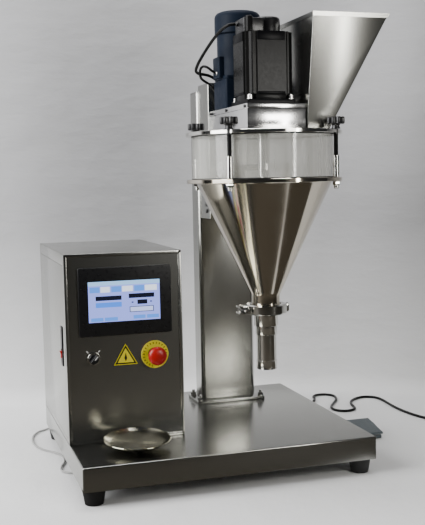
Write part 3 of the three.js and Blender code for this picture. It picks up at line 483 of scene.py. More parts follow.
def tray(x0, x1, y0, y1, z0, z1, thick, bend):
    """A sheet box with an open bottom and rounded outer edges."""
    bm = slab(x0, x1, y0, y1, z0, z1)
    bottom = min(bm.faces, key=lambda face: face.calc_center_median().z)
    bmesh.ops.delete(bm, geom=[bottom], context="FACES_ONLY")
    soften(bm, [edge for edge in bm.edges if not edge.is_boundary], bend, 4)
    bmesh.ops.recalc_face_normals(bm, faces=bm.faces)
    bmesh.ops.solidify(bm, geom=bm.faces[:], thickness=thick * MM)
    bmesh.ops.recalc_face_normals(bm, faces=bm.faces)
    return bm


def base():
    piece("base_sheet", tray(0, BASE_X, 0, BASE_Y, BASE_LOW + 1, BASE_TOP, 2, 3), brushed_across,
          replaces=("base_pan",))
    lip, gusset = 16, 62
    z0, z1 = BASE_LOW, BASE_LOW + 2
    strips = [slab(x0, x1, y0, y1, z0, z1, 0.9) for x0, x1, y0, y1 in (
        (1, BASE_X - 1, 1, lip), (1, BASE_X - 1, BASE_Y - lip, BASE_Y - 1),
        (1, lip, 1, BASE_Y - 1), (BASE_X - lip, BASE_X - 1, 1, BASE_Y - 1),
    )]
    for x in (2, BASE_X - gusset):
        for y in (2, BASE_Y - gusset):
            strips.append(slab(x, x + gusset - 2, y, y + gusset - 2, z0 + 0.1, z1 + 0.1))
    piece("base_return_lip", together(*strips), brushed_across)


def feet():
    for place in ("front_left", "front_right", "rear_left", "rear_right"):
        low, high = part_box("foot_" + place)
        x = ((low.x + high.x) / 2 - CORNER.x) / MM
        y = ((low.y + high.y) / 2 - CORNER.y) / MM
        profile = [(0, 5), (8, 5), (8, 0), (17.5, 0), (18.6, 0.4), (19, 1.4), (23.4, 27), (24, 29.2),
                   (24, 31.2), (23.4, 31.8), (0, 31.8)]
        piece("rubber_foot_" + place, turned(x, y, profile, segments=48), rubber, replaces=("foot_" + place,))
        stud = together(rod(x, y, 5, 31, 50, chamfer=0.6, segments=24),
                        prism(hexagon(x, y, 9.3), 34.4, 40, bevel=0.6))
        piece("foot_stud_" + place, stud, bright_screw)


def column():
    piece("column_plate", prism(rounded(357, 532, 411, 507, 5), 82.2, 88.2, bevel=0.7), brushed_across,
          replaces=("column_foot_plate",))
    for i, (x, y) in enumerate((x, y) for x in (365.7, 523.3) for y in (422, 488)):
        bolt = together(
            rod(x, y, 7.7, 88.1, 90, chamfer=0.3),
            prism(hexagon(x, y, 7.5, 12), 90, 97.5, bevel=0.6),
            rod(x, y, 3.9, 97, 103, chamfer=0.8, segments=20),
        )
        piece(f"column_bolt_{i + 1}", bolt, bright_screw)
    piece("column_post", prism(rounded(375, 515, 439, 499, 10, 8), 88.3, 845.8, bevel=0.3), brushed_up,
          replaces=("column_tube",))
    piece("column_top", prism(rounded(375, 515, 439, 499, 10, 8), 846, 849, bevel=1.2), brushed_up)


def arm():
    piece("head_bracket", prism(rounded(379.5, 510.5, 356.4, 438.6, 3), 542, 862, bevel=1.2), brushed_up,
          replaces=("mounting_head",))
    seats = [(380, 560 + dz) for dz in (0, 16, 60)]
    for i, (y, z) in enumerate(seats):
        piece(f"head_bolt_{i + 1}", side_bolt(379.5, y, z, 5), dark_screw)
    piece("housing", slab(ARM_LEFT, ARM_RIGHT, ARM_FRONT, ARM_BACK, ARM_LOW, 782.2, 0.8), aluminium,
          replaces=("gear_housing",))
    piece("housing_cover", slab(ARM_LEFT, ARM_RIGHT, ARM_FRONT, ARM_BACK, 782.5, ARM_TOP, 0.8), aluminium,
          replaces=("gear_housing_cover",))
    for i, y in enumerate((93, 219, 338)):
        piece(f"cover_side_screw_{i + 1}", side_bolt(ARM_LEFT, y, 787.5, 3.4), dark_screw)


def side_bolt(x, y, z, r):
    """A socket-head screw on a left-hand face."""
    return together(
        rod(y, z, r, x - 3, x + 1, "right", 0.5, 24),
        prism(hexagon(y, z, r * 0.5), x - 3.2, x - 2.9, "right"),
    )


base()
feet()
column()
arm()

# ---------------- hopper

def tie_rod_places():
    for place, degrees in (("front_left", 225), ("front_right", 315), ("rear_left", 135), ("rear_right", 45)):
        a = math.radians(degrees)
        yield place, AXIS_X + ROD_CIRCLE * math.cos(a), AXIS_Y + ROD_CIRCLE * math.sin(a)


def hopper():
    rim, edge = 170, 0.8
    lid = [(16, LID_LOW), (rim - edge, LID_LOW), (rim, LID_LOW + edge), (rim, LID_TOP - edge),
           (rim - edge, LID_TOP), (16, LID_TOP)]
    piece("lid_plate", hollow(lid), polished, replaces=("hopper_lid",))
    glass = [(151.5, 638.2), (156.5, 638.2), (156.5, 727), (151.5, 727)]
    piece("hopper_glass", hollow(glass), acrylic, replaces=("clear_cylinder",))
    for name, low, high in (("lower_gasket", 636.4, 638.1), ("upper_gasket", 727.1, 728.6)):
        piece(name, hollow([(150.5, low), (158, low), (158, high), (150.5, high)]), rubber)
    cone = [
        (149.5, FLANGE_TOP), (169.2, FLANGE_TOP), (170, FLANGE_TOP - 0.8), (170, FLANGE_LOW + 0.8),
        (169.2, FLANGE_LOW), (149.5, FLANGE_LOW), (147.5, FLANGE_LOW - 1.5), (33.4, 385), (31.6, 381.5),
        (31, 378), (31, 358.5), (32.5, 356.4), (41.5, 353.6), (42, 352.9), (42, 349.2), (28.8, 349.2),
        (28.8, 380), (145.3, 628.3),
    ]
    piece("cone_shell", hollow(cone), cone_mirror, replaces=("hopper_flange", "hopper_cone", "hopper_outlet"))
    for place, x, y in tie_rod_places():
        tie_rod(place, x, y)
        star_knob(place, x, y)
    funnel()


def tie_rod(place, x, y):
    """A rod that is threaded at its top, in a bright sleeve with a nut under the flange."""
    thread, pitch, z = [], 1.5, 684
    while z < 727:
        thread += [(5, z), (4.4, z + pitch / 2)]
        z += pitch
    upper = turned(x, y, [(0, 680), (4.4, 680), *thread, (5, 727), (5, 745), (0, 745)], segments=24)
    lower = together(rod(x, y, 6.6, 636.6, 682, chamfer=0.8), prism(hexagon(x, y, 7.9), 619, 627, bevel=0.7),
                     rod(x, y, 4.9, 612, 620, chamfer=0.8))
    piece("rod_thread_" + place, upper, dark_screw, replaces=("tie_rod_" + place,))
    piece("rod_sleeve_" + place, lower, polished)


def star_knob(place, x, y):
    outline, lobes = [], 8
    for i in range(lobes * 12):
        a = 2 * math.pi * i / (lobes * 12)
        wave = 0.5 + 0.5 * math.cos(lobes * a)
        r = 15 + 4.5 * wave ** 0.6
        outline.append((x + r * math.cos(a), y + r * math.sin(a)))
    head = prism(outline, KNOB_LOW, KNOB_TOP, bevel=2.2, segments=3)
    neck = [(0, 737), (9, 737), (9, 739), (7.8, 741), (7.8, 744), (11, 748), (0, 748)]
    knob = together(head, turned(x, y, neck, segments=32))
    insert = rod(x, y, 4.5, KNOB_TOP - 0.4, KNOB_TOP + 0.1)
    body = "star_knob_" + place
    piece("knob_" + place, knob, black_plastic, body, (body,))
    piece("knob_insert_" + place, insert, bright_screw, body)


def funnel():
    """Four sheet walls; the left one is upright. The rim is folded outwards into a hem."""
    low, high = 737.2, 978
    foot = [(515, 84), (566, 84), (566, 192), (515, 192)]
    rim = [(515, 44), (688, 44), (688, 232), (515, 232)]
    hem, thick = 9, 1.8

    def loop(bm, corners, z, inset):
        x0, y0 = corners[0]
        x1, y1 = corners[2]
        spots = [(x0 + inset, y0 + inset), (x1 - inset, y0 + inset), (x1 - inset, y1 - inset),
                 (x0 + inset, y1 - inset)]
        return [bm.verts.new(at(x, y, z)) for x, y in spots]

    bm = bmesh.new()
    share = (high - hem - low) / (high - low)
    below = [tuple(a + (b - a) * share for a, b in zip(p, q)) for p, q in zip(foot, rim)]
    loops = [
        loop(bm, foot, low, 0), loop(bm, below, high - hem, 0), loop(bm, below, high - hem, -1.6),
        loop(bm, rim, high, -1.6), loop(bm, rim, high, thick), loop(bm, foot, low, thick),
    ]
    for near, far in zip(loops, loops[1:] + loops[:1]):
        for i in range(4):
            j = (i + 1) % 4
            bm.faces.new((near[i], near[j], far[j], far[i]))
    bmesh.ops.recalc_face_normals(bm, faces=bm.faces)
    corners = [edge for edge in bm.edges if abs(edge.verts[0].co.z - edge.verts[1].co.z) > 0.1]
    soften(bm, corners, 1.4, 3)
    piece("funnel_sheet", bm, brushed_up, replaces=("infeed_funnel",))


hopper()

# ---------------- nozzle and clamp

def nozzle():
    tube = [
        (28.8, 348.8), (42, 348.8), (42, 345.3), (41.4, 344.4), (32, 341.6), (26.3, 341.2), (26.3, 311.6),
        (25.8, 310.8), (23.5, 309.8), (23.5, 292.4), (23, 291.4), (21.7, 290.6), (21.7, 233.8), (22.6, 233.2),
        (22.6, 215), (22, 214), (19.8, 214), (19.8, 332),
    ]
    piece("nozzle_shell", hollow(tube, 96), polished, replaces=("nozzle_tube",))
    seal = [(29, 348.85), (42.4, 348.85), (42.4, 349.15), (29, 349.15)]
    piece("ferrule_gasket", hollow(seal, 64), mark_white)


def clamp():
    """Two half rings: a fork of ears and a web on the left for the eye bolt, a hinge lug on the right."""
    ring = [(33, 339.5), (34.5, 338), (43.5, 338), (46, 340.5), (46, 357.5), (43.5, 360), (34.5, 360),
            (33, 358.5), (33, 357.2), (43, 353.6), (43, 344.4), (33, 340.8)]
    bm = hollow(ring, 96)
    for side, sign, ear in (("front", -1, 13.5), ("rear", 1, 15.5)):
        half = bm.copy()
        near = AXIS_Y + 0.5 * sign
        bmesh.ops.bisect_plane(
            half, geom=half.verts[:] + half.edges[:] + half.faces[:], plane_co=at(0, near, 0),
            plane_no=(0, -sign, 0), clear_outer=True,
        )
        y0, y1 = sorted((near, AXIS_Y + ear * sign))
        lug_y0, lug_y1 = sorted((near, near + 8 * sign))
        ears = [slab(380, 401, y0, y1, 353.4, 358, 1.2), slab(380, 401, y0, y1, 340, 344.6, 1.2),
                slab(394.6, 402, y0, y1, 341, 357, 0.5), slab(489, 497, lug_y0, lug_y1, 341, 357, 1.5)]
        piece(f"clamp_{side}", together(half, *ears), polished, replaces=(f"clamp_{side}_half",))
    bm.free()
    piece("clamp_hinge_pin", rod(495, AXIS_Y, 2.6, 339, 359, chamfer=0.5), bright_screw)
    eye = together(
        rod(388, 171, 5.5, 345.4, 352.6, chamfer=0.6), rod(388, 171, 2, 339, 359.3, chamfer=0.4),
        rod(388, 349, 3, 133, 171, "back", 0.6, 24),
    )
    piece("clamp_eye_bolt", eye, bright_screw, "clamp_swing_bolt", ("clamp_swing_bolt",))
    wings = [(376, 355.6), (374.9, 353.4), (381, 345.8), (395, 345.8), (401.1, 353.4), (400, 355.6),
             (396, 352), (380, 352)]
    nut = together(rod(388, 349, 6.2, 138.5, 146.4, "back", 1, 24), prism(wings, 139.6, 143.4, "back", 1.2))
    piece("clamp_wings", nut, dark_screw, "clamp_wing_nut", ("clamp_wing_nut",))


nozzle()
clamp()

# ---------------- servo motor

SERVO_CORNER = [
    (31, -55), (32.5, -50), (36, -50), (37, -52.5), (40.5, -52.5), (41.5, -45.5),
    (45.5, -41.5), (52.5, -40.5), (52.5, -37), (50, -36), (50, -32.5), (55, -31),
]


def servo_section():
    """Four flat faces, and two ribs down each cut-away corner."""
    outline = []
    for turn in range(4):
        c, s = math.cos(math.pi / 2 * turn), math.sin(math.pi / 2 * turn)
        outline += [(AXIS_X + u * c - v * s, AXIS_Y + u * s + v * c) for u, v in SERVO_CORNER]
    return outline


def crossed(narrow, reach, low, high, bevel):
    """Two crossed slabs on the hopper's axis, each across two opposite faces of the servo motor."""
    x, y = AXIS_X, AXIS_Y
    return [slab(x - narrow, x + narrow, y - reach, y + reach, low, high, bevel),
            slab(x - reach, x + reach, y - narrow, y + narrow, low, high, bevel)]


def servo():
    x, y, half, face = AXIS_X, AXIS_Y, SERVO_HALF, 31
    piece("servo_flange", prism(rounded(x - half, x + half, y - half, y + half, 4), 793.3, 804, bevel=0.8),
          servo_black, replaces=("servo_motor",))
    waist = crossed(33.5, half - 1, 803.8, 815.4, 0.8)
    piece("servo_waist", together(*waist, slab(x - 41, x + 41, y - 41, y + 41, 803.8, 815.4)), servo_rib)
    piece("servo_body", prism(servo_section(), SERVO_BODY, SERVO_TOP, bevel=0.5, segments=1), servo_rib)
    covers = crossed(face, half + 1, SERVO_COVER, SERVO_TOP + 0.2, 1)
    low_bands = crossed(face, half + 0.5, SERVO_BODY, SERVO_BODY + 5, 0.5)
    piece("servo_top_cover", together(*covers, *low_bands), servo_black)
    for i, (sx, sy) in enumerate((sx, sy) for sx in (-46, 46) for sy in (-46, 46)):
        head = together(rod(x + sx, y + sy, 6, 805.4, 813.6, chamfer=0.7),
                        rod(x + sx, y + sy, 7.6, 804, 805.4, chamfer=0.2))
        piece(f"servo_bolt_{i + 1}", head, bright_screw)
        piece(f"servo_bolt_socket_{i + 1}", prism(hexagon(x + sx, y + sy, 3), 813.5, 813.8), dark_screw)
    cap = [(0, 946.3), (28, 946.3), (28, 975), (27, 978.5), (24.5, 981), (21, 982), (0, 982)]
    piece("encoder_cover", turned(457, y, cap, segments=64), black_plastic, replaces=("servo_encoder_cap",))
    block = prism(rounded(392, 437, 128, 186, 3), 946.3, 976, bevel=1.5, segments=3)
    piece("encoder_connector", block, black_plastic)
    boss = turned(402, 124, [(0, 946.3), (8, 946.3), (8, 975), (7.2, 977.6), (5, 979), (0, 979)], segments=32)
    piece("encoder_boss", boss, servo_rib)
    piece("encoder_ferrule", rod(168, 967, 5, 388, 392.6, "right", 0.6), black_plastic)


SERVO_CABLE = [
    (386.6, 168, 967), (375, 170, 966), (365, 180, 961), (355, 203, 948), (345, 232, 928), (336, 256, 907),
    (331, 272, 892), (331, 286, 881), (340, 297, 876), (356, 306, 875), (373, 317, 873), (391, 328, 866),
    (407, 335, 850), (416, 338, 828), (418, 338, 810), (418, 338, 793.5),
]
MOTOR_CABLE = [
    (371.6, 262, 873), (362, 262, 878), (352, 264, 886), (345, 270, 889), (341, 279, 886), (341, 288, 877),
    (346, 297, 866), (357, 307, 860), (371, 318, 855), (386, 331, 846), (397, 339, 830), (401, 343, 812),
    (401, 343, 793.5),
]


def motor_cables():
    """The two short cables that stay on the head, and the boots where they enter the housing."""
    servo_points = smooth_points([at(*p) for p in SERVO_CABLE])
    motor_points = smooth_points([at(*p) for p in MOTOR_CABLE])
    flex("servo_flex", servo_points, 3.5, cable_black, ("servo_cable",))
    flex("motor_flex", motor_points, 3, cable_black, ("motor_cable",))
    for i, (x, y, r) in enumerate(((418, 338, 3.5), (401, 343, 3))):
        boot = [(r + 0.2, 793.2), (r + 3.4, 793.2), (r + 3, 795.5), (r + 0.4, 799)]
        piece(f"cable_grommet_{i + 1}", turned(x, y, boot, segments=32, closed=True), rubber)


def gear_motor():
    x, y = STIR_X, STIR_Y
    piece("gearhead", prism(rounded(x - 45, x + 45, y - 45, y + 45, 6), 793.3, 857.8, bevel=1.5, segments=3),
          blue_paint, replaces=("stirrer_gearhead",))
    body = [(0, 858.3), (46, 858.3), (47, 859.3), (47, 955), (45.5, 959.9), (0, 959.9)]
    piece("motor_shell", turned(x, y, body, segments=72), blue_paint, replaces=("stirrer_motor",))
    flange = prism(rounded(x - 44, x + 44, y - 44, y + 44, 8), 858.1, 866, bevel=1)
    piece("motor_flange", flange, blue_paint)
    hood = [(0, 960.3), (51.4, 960.3), (52, 961), (52, 997), (50.6, 1002), (47, 1006.4), (41, 1009),
            (0, 1009)]
    piece("fan_hood", turned(x, y, hood, segments=72), blue_paint, replaces=("motor_fan_cover",))
    low, high = 1008.9, 1009.15
    slots = [turned(x, y, [(r, low), (r + 4, low), (r + 4, high), (r, high)], segments=48, closed=True)
             for r in (14, 24, 34)]
    piece("fan_grille", together(*slots), black_plastic)
    near = x - 47
    box_outline = rounded(near - 6, near + 12, 246, 292, 3)
    piece("terminal_cover", prism(box_outline, 862, 909, bevel=1.6, segments=3), blue_paint)
    piece("terminal_gland", rod(262, 873, 4.6, near - 8.6, near - 5.4, "right", 0.8), bright_screw)


servo()
motor_cables()
gear_motor()

# ---------------- control box

def frame_sheet(x0, x1, z0, z1, lip, y0, y1):
    """The bright lip round the box's open front, as four strips."""
    return together(
        slab(x0, x1, y0, y1, z1 - lip, z1, 1.2, 3), slab(x0, x1, y0, y1, z0, z0 + lip, 0.8),
        slab(x0, x0 + lip, y0, y1, z0, z1, 1.2, 3), slab(x1 - lip, x1, y0, y1, z0, z1, 1.2, 3),
    )


def control_box():
    """The box's shell with its open left side, the front panel set back in its lip, and the side door."""
    low, top, front, back = BASE_TOP + 0.3, BOX_TOP, BOX_FRONT, BOX_BACK
    walls = together(
        slab(0, BOX_X, front, back, top - 2, top, 0.9, 3),
        slab(BOX_X - 2, BOX_X, front, back, low, top, 0.9, 3),
        slab(0, BOX_X, back - 2, back, low, top, 0.9, 3), slab(0, BOX_X, front + 1, back, low, low + 2),
        slab(0, 2, front, 180, low, top, 0.6), slab(0, 2, 550, back, low, top, 0.6),
        slab(0, 2, 178, 552, 463, top, 0.6), slab(0, 2, 178, 552, low, 93, 0.6),
    )
    piece("box_shell", walls, brushed_up, replaces=("enclosure_shell",))
    piece("box_front_lip", frame_sheet(0, BOX_X, low, top, 7, front - 0.1, front + 2), brushed_up)
    panel = slab(2.6, BOX_X - 2.6, PANEL_Y, PANEL_Y + 2, low + 2.4, top - 2.6)
    piece("box_front_panel", panel, brushed_up, replaces=("front_panel",))
    door = together(
        slab(0, 2, 180.5, 549.5, 93.5, 462.5, 0.5), slab(1.5, 14, 186, 188, 99, 457),
        slab(1.5, 14, 524, 526, 99, 457), slab(1.5, 14, 186, 526, 99, 101), slab(1.5, 14, 186, 526, 455, 457),
    )
    piece("door_sheet", door, brushed_up, "side_door", ("side_door",))


def mains_switch():
    bezel = together(
        slab(-2.6, 0, 206, 228, 245, 261, 0.5), slab(-2.6, 0, 206, 228, 281, 330, 0.5),
        slab(-2.6, 0, 206, 210.4, 246, 329, 0.5), slab(-2.6, 0, 223.6, 228, 246, 329, 0.5),
        slab(0, 24, 209.6, 224.4, 248.6, 260.6), slab(0, 24, 209.6, 224.4, 281.4, 326.4),
    )
    piece("switch_bezel", bezel, black_plastic, "side_door", ("mains_switch_bezel",))
    outline = [(-9.5, 7.5), (-8.2, 3), (-7.6, 0), (-8.2, -3), (-9.5, -7.5), (2, -5), (2, 5)]
    rocker = prism([(3 + a, 271 + b) for a, b in outline], 211.3, 222.7, "back", 0.5)
    moved(rocker, about(at(3, 217, 271), "Y", -9))
    piece("switch_rocker", rocker, red_plastic, "mains_rocker", ("mains_rocker",))


def emergency_stop():
    x, y, z = 190.4, PANEL_Y, 264.2
    plate = [(8.6, y), (29.6, y - 0.2), (30, y - 0.8), (30, y - 1.6), (29.4, y - 2), (8.6, y - 2)]
    piece("estop_plate", turned(x, z, plate, "back", 72, True), yellow_plastic, replaces=("estop_base",))
    collar = [(8.6, y - 2), (15.4, y - 2), (15.4, y - 5), (14, y - 15), (8.6, y - 15)]
    piece("estop_collar", turned(x, z, collar, "back", 48, True), black_plastic)
    marks, gaps = [], 21
    for i in range(gaps + 1):
        tick = slab(x + 23, x + 27, y - 2.25, y - 1.95, z - 0.7, z + 0.7)
        marks.append(moved(tick, about(at(x, 0, z), "Y", 15 + 330 * i / gaps + 90)))
    piece("estop_ring_marks", together(*marks), black_plastic)
    back = y - 21
    cap = [(0, back - 14), (5, back - 13.8), (10, back - 13), (14.5, back - 11.4), (18, back - 9),
           (19.7, back - 6.4), (20, back - 4.5), (19.7, back - 1.4), (18.4, back), (8, back),
           (8, y - 6), (0, y - 6)]
    piece("estop_cap", turned(x, z, cap, "back", 64), red_plastic, "estop_button", ("estop_button",))


def selector():
    x, y, z = 57, PANEL_Y, 264
    bezel = [(10.4, y), (14.5, y), (14.5, y - 4.6), (13, y - 7), (10.4, y - 7)]
    piece("selector_ring", turned(x, z, bezel, "back", 48, True), polished, replaces=("selector_bezel",))
    disc = rod(x, z, 10, y - 8, y, "back", 0.6, 48)
    grip = prism(rounded(x - 4.2, x + 4.2, z - 10, z + 10, 2.5), y - 20, y - 7, "back", 1.2, 3)
    turn = about(at(x, 0, z), "Y", 40)
    knob = together(disc, moved(grip, turn))
    piece("selector_grip", knob, black_plastic, "selector_knob", ("selector_knob",))
    pointer = moved(slab(x - 1, x + 1, y - 20.2, y - 19.9, z, z + 9.2), turn)
    piece("selector_pointer", pointer, mark_white, "selector_knob")
    marks = []
    for a in (-40, 40):
        mark = slab(x - 1, x + 1, y - 0.25, y + 0.1, z + 17, z + 22)
        marks.append(moved(mark, about(at(x, 0, z), "Y", a)))
    piece("selector_marks", together(*marks), mark_white)


def hazard_sign():
    """A yellow triangle with black borders and a plain mark: the real sign's symbol is left out."""
    x, z = 126.5, 261.3
    layers = (
        ("sign_border", 31.5, -0.3, 0.1, black_plastic),
        ("sign_yellow_rim", 30.2, -0.4, -0.2, yellow_plastic),
        ("sign_inner_border", 27, -0.5, -0.3, black_plastic),
        ("sign_yellow_field", 21, -0.6, -0.4, yellow_plastic),
    )
    for name, r, low, high, material in layers:
        piece(name, prism(arc(x, z, r, 90, 330, 2), PANEL_Y + low, PANEL_Y + high, "back"), material)
    lozenge = [(x, z + 11), (x - 3, z - 1), (x, z - 8), (x + 3, z - 1)]
    piece("sign_plain_mark", prism(lozenge, PANEL_Y - 0.7, PANEL_Y - 0.5, "back"), black_plastic)


def touch_panel():
    x0, x1, z0, z1 = 28.5, 228.5, 311.7, 457.2
    bezel = prism(rounded(x0, x1, z0, z1, 4), PANEL_Y - 6, PANEL_Y - 0.2, "back", 1.8, 4)
    piece("panel_bezel", bezel, black_plastic, replaces=("hmi_panel",))
    screen(x0 + 20.6, z1 - 29.9)


def glow(name, colour):
    dark = (0.01, 0.01, 0.01)
    return shader("screen_" + name, dark, 0.2, Emission_Color=(*colour, 1), Emission_Strength=1.15)


def screen(left, top):
    """The lit screen: a plain page of fields and buttons, with no words on it."""
    wide, high = 154.1, 85.9
    face = PANEL_Y - 6
    # Each kind of area: how proud of the bezel it stands, and the colour it glows in.
    kinds = {
        "page": (0.05, (0.4, 0.5, 1.3)), "title": (0.1, (0.45, 0.8, 1.25)), "field": (0.13, (1.1, 1.2, 1.4)),
        "label": (0.13, (0.12, 0.38, 1.15)), "dark": (0.13, (0.004, 0.006, 0.02)),
        "button": (0.13, (0.08, 0.32, 1.2)), "pale": (0.16, (0.7, 0.82, 1.35)),
    }
    # Left, top, right and bottom, as shares of the page.
    areas = [
        ("page", 0, 0, 1, 1), ("title", 0, 0.0, 1, 0.1), ("label", 0.02, 0.13, 0.16, 0.27),
        ("field", 0.17, 0.13, 0.3, 0.27), ("label", 0.32, 0.13, 0.46, 0.27),
        ("field", 0.47, 0.13, 0.62, 0.27), ("label", 0.64, 0.13, 0.78, 0.27),
        ("field", 0.79, 0.13, 0.96, 0.27), ("dark", 0.1, 0.36, 0.46, 0.47),
        ("dark", 0.56, 0.33, 0.92, 0.44), ("button", 0.1, 0.52, 0.46, 0.64),
        ("dark", 0.68, 0.49, 0.82, 0.6), ("dark", 0.57, 0.65, 0.91, 0.79),
        ("label", 0.03, 0.89, 0.2, 0.98), ("label", 0.22, 0.89, 0.4, 0.98),
        ("label", 0.62, 0.87, 0.79, 0.96), ("label", 0.81, 0.87, 0.98, 0.96),
        ("dark", 0.6, 0.53, 0.625, 0.56), ("dark", 0.86, 0.53, 0.885, 0.56),
        ("pale", 0.58, 0.665, 0.9, 0.775),
    ]
    groups = {}
    for kind, u0, v0, u1, v1 in areas:
        part = slab(left + u0 * wide, left + u1 * wide, face - kinds[kind][0], face + 0.3,
                    top - v1 * high, top - v0 * high)
        groups.setdefault(kind, []).append(part)
    for kind, parts in groups.items():
        piece("screen_" + kind, together(*parts), glow(kind, kinds[kind][1]))


def gland_plate():
    y = BOX_BACK + 0.3
    piece("gland_sheet", prism(rounded(43, 212, 97, 133, 3), y, y + 2, "back", 0.5), brushed_up,
          replaces=("gland_plate",))
    mains = together(
        prism(hexagon(190, 115, 11), y + 2, y + 8, "back", 0.8),
        turned(190, 115, [(0, y + 8), (9.6, y + 8), (9.6, y + 13), (8, y + 15), (7.6, y + 19), (5, y + 45),
                          (0, y + 45)], "back", 32),
    )
    lead = together(
        prism(hexagon(65, 115, 8.6), y + 2, y + 7, "back", 0.6),
        turned(65, 115, [(0, y + 7), (7.4, y + 7), (7.4, y + 10), (6, y + 12.5), (5.4, y + 20),
                         (0, y + 20)], "back", 32),
    )
    piece("gland_mains", mains, black_plastic)
    piece("gland_foot_switch", lead, black_plastic)


control_box()
mains_switch()
emergency_stop()
selector()
hazard_sign()
touch_panel()
gland_plate()

# ---------------- dish and foot switch

def dish():
    x, y, rim = 130, 92, 105
    pan = [
        (0, -7.4), (30, -7), (54, -6.5), (60, -5.2), (66.4, -1.2), (68.2, 0.3), (69, 0.9), (69.8, 0.7),
        (70.2, 0), (69.8, -0.8), (68.6, -1.6), (61, -6.6), (56, -8.2), (30, -8.7), (0, -9),
    ]
    tilt = about(at(x, y, rim), "X", 3)
    shape = moved(turned(x, y, [(r, rim + h) for r, h in pan], segments=96), tilt)
    piece("dish_pan", shape, dish_steel(), "dish", ("dish",))
    stem = [(0, 82.3), (16, 82.3), (17, 83), (17, 84.6), (16, 85.4), (10, 86.4), (8, 88.5), (8, 96.6),
            (0, 96.6)]
    piece("dish_stem", turned(x, y, stem, segments=48), dark_screw, "dish")


def foot_switch():
    x0, x1, y0, y1 = 665, 771, 236, 318
    base_part = prism(rounded(x0, x1, y0 + 4, y1, 6), 0.6, 8, bevel=1.2)
    sole = prism(rounded(x0 + 2, x1 - 2, y0 + 6, y1 - 2, 5), 0, 1)
    cheek = [(y1 - 26, 2), (y1, 2), (y1, 22), (y1 - 6, 25), (y1 - 18, 25), (y1 - 26, 18)]
    cheeks = [prism(cheek, x0 + 2, x0 + 7, "right", 0.6), prism(cheek, x1 - 7, x1 - 2, "right", 0.6)]
    piece("switch_base_casting", together(base_part, *cheeks), hammertone, replaces=("foot_switch_base",))
    piece("switch_sole", sole, rubber)
    hood = [(y0, 12), (y0, 14.4), (y0 + 2, 16.6), (y1 - 3, 32), (y1, 29), (y1, 26), (y1 - 30, 25),
            (y0 + 20, 12.5)]
    core = [(y1 - 24, 12), (y1 - 6, 12), (y1 - 6, 28), (y1 - 24, 28)]
    tread = together(prism(hood, x0, x1, "right", 1.6, 3), prism(core, x0 + 9, x1 - 9, "right"))
    piece("switch_tread", tread, hammertone, "foot_switch_tread", ("foot_switch_tread",))
    piece("switch_pin", rod(306, 17, 3, x0 + 3, x1 - 3, "right", 0.5), bright_screw, "foot_switch_tread")


dish()
foot_switch()

# ---------------- parts shown as the frame has them

KEPT = {
    "auger_screw": polished, "stirrer": polished, "stirrer_pulley": aluminium, "motor_pulley": aluminium,
    "drive_belt": rubber, "equipment_plate": board_grey,
}
for name, material in KEPT.items():
    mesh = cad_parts[name].data
    mesh.materials.clear()
    mesh.materials.append(material)
    smoothed(mesh, 35)

# ---------------- studio

# Metres, on the frame's own origin; the cloths lie square to the camera.

TABLE = -0.0005
CLOTH_FRONT = -0.545
CLOTH_WHITE, CLOTH_SHADE_GREY = (0.84, 0.84, 0.84, 1), (0.44, 0.44, 0.45, 1)
DAYLIGHT, LAMPLIGHT = (1, 1, 1), (1, 0.98, 0.93)


def clear_from_behind(material):
    """The cloth shows from its front only, so the object can be looked at from every side."""
    nodes, links = material.node_tree.nodes, material.node_tree.links
    facing = nodes.new("ShaderNodeNewGeometry")
    clear = nodes.new("ShaderNodeBsdfTransparent")
    mix = nodes.new("ShaderNodeMixShader")
    links.new(facing.outputs["Backfacing"], mix.inputs["Fac"])
    links.new(nodes["Principled BSDF"].outputs["BSDF"], mix.inputs[1])
    links.new(clear.outputs["BSDF"], mix.inputs[2])
    links.new(mix.outputs["Shader"], nodes["Material Output"].inputs["Surface"])


def cloth_shader():
    """A pale cloth with soft creases, whiter on the table and greyer where it hangs behind: the grey is
    painted shade that deepens with height.
    """
    material = shader("cloth", (0.6, 0.6, 0.6), 0.95)
    nodes, links = material.node_tree.nodes, material.node_tree.links
    place = nodes.new("ShaderNodeTexCoord")
    split = nodes.new("ShaderNodeSeparateXYZ")
    height = nodes.new("ShaderNodeMapRange")
    height.inputs["From Min"].default_value = 0.0
    height.inputs["From Max"].default_value = 0.5
    # Painted shade: the cloth's colour greys from the table up to half a metre high.
    shade = nodes.new("ShaderNodeMix")
    shade.data_type = "RGBA"
    colours = [socket for socket in shade.inputs if socket.type == "RGBA"]
    colours[0].default_value = CLOTH_WHITE
    colours[1].default_value = CLOTH_SHADE_GREY
    links.new(place.outputs["Object"], split.inputs["Vector"])
    links.new(split.outputs["Z"], height.inputs["Value"])
    links.new(height.outputs["Result"], shade.inputs[0])
    links.new(next(socket for socket in shade.outputs if socket.type == "RGBA"),
              nodes["Principled BSDF"].inputs["Base Color"])
    roughen(material, noise(material, 4.5, (1, 0.6, 2.2), 5), 0.3, 0.03)
    clear_from_behind(material)
    return material


def recess(side):
    """How far behind the middle the cloth hangs: it comes forward at both ends."""
    return 0.56 - 0.12 * eased(-side / 0.6) - 0.1 * eased((side - 0.33) / 0.3)


def sheet(name, profile, material):
    """A cloth square to the camera: profile gives its points, front to back, at one distance to the side."""
    bm = bmesh.new()
    sides = [-4, -2] + [-1.2 + 0.06 * i for i in range(41)] + [2, 4]
    columns = [[bm.verts.new((side, depth, z)) for depth, z in profile(side)] for side in sides]
    for left, right in zip(columns, columns[1:]):
        for i in range(len(left) - 1):
            bm.faces.new((left[i], right[i], right[i + 1], left[i + 1]))
    mesh = bpy.data.meshes.new(name)
    bm.to_mesh(mesh)
    bm.free()
    for polygon in mesh.polygons:
        polygon.use_smooth = True
    obj = bpy.data.objects.new(name, mesh)
    obj.rotation_euler = (0, 0, -YAW)
    obj.data.materials.append(material)
    scene.collection.objects.link(obj)
    return obj


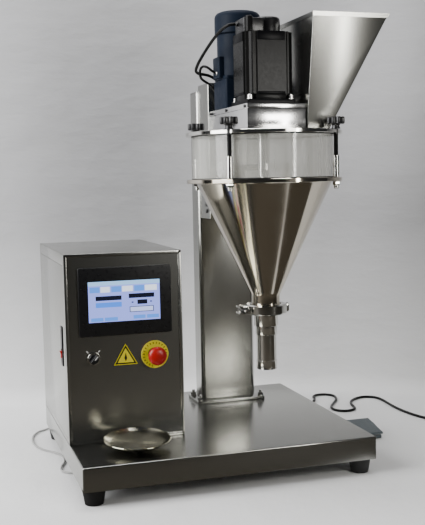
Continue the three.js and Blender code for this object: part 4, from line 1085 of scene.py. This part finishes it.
def hanging_cloth(side):
    """The cloth's run: flat on the table, round a bend, and up behind the object."""
    foot, r = recess(side), 0.05
    angles = [math.pi / 16 * i for i in range(9)]
    bend = [(foot + r * math.sin(a), TABLE + r - r * math.cos(a)) for a in angles]
    flat = [(depth, TABLE) for depth in (CLOTH_FRONT, -0.3, 0, 0.2, 0.35)]
    return flat + bend + [(foot + r, z) for z in (0.3, 0.6, 1, 1.6, 2.6, 4)]


def panel_light(name, centre, target, size, power, colour=DAYLIGHT):
    data = bpy.data.lights.new(name, "AREA")
    data.shape = "RECTANGLE"
    data.size, data.size_y = size
    data.energy = power
    data.color = colour
    light = bpy.data.objects.new(name, data)
    light.location = centre
    light.rotation_euler = (Vector(target) - Vector(centre)).to_track_quat("-Z", "Y").to_euler()
    light.visible_camera = False
    scene.collection.objects.link(light)


def studio():
    sheet("table_and_backdrop", hanging_cloth, cloth_shader())
    dark = mottled("dark_floor", (0.05, 0.042, 0.03), 0.8, 0.9, 2)
    sheet("room_floor", lambda side: [(-6, TABLE - 0.001), (CLOTH_FRONT, TABLE - 0.001)], dark)
    # Only reflections see this card: it darkens what the low steel faces mirror, as in the photo.
    card = sheet("dark_card", lambda side: [(-1.2, 0.001), (-0.3 if side < 0.42 else 0.1, 0.001)], dark)
    card.visible_camera = card.visible_diffuse = card.visible_shadow = False
    world = bpy.data.worlds.new("studio")
    world.use_nodes = True
    ambient = world.node_tree.nodes["Background"].inputs
    ambient["Color"].default_value = (0.5, 0.52, 0.55, 1)
    ambient["Strength"].default_value = 0.06
    scene.world = world
    panel_light("left_window", (-2.1, -0.35, 1.4), (0.1, 0.3, 0.3), (1.5, 1.7), 90)
    panel_light("overhead", (-0.1, 0.1, 2.5), (0.05, 0.35, 0), (1.9, 0.5), 33)
    panel_light("right_panel", (0.64, -1.62, 0.96), (0.1, -0.2, 0.8), (0.6, 0.32), 8, LAMPLIGHT)
    panel_light("right_strip", (0.8, -1.6, 0.66), (0.1, -0.2, 0.66), (0.12, 0.3), 2.8, LAMPLIGHT)
    panel_light("rear_fill", (-0.9, 1.9, 1.5), (0.05, 0.1, 0.4), (1.2, 1.2), 14)


studio()
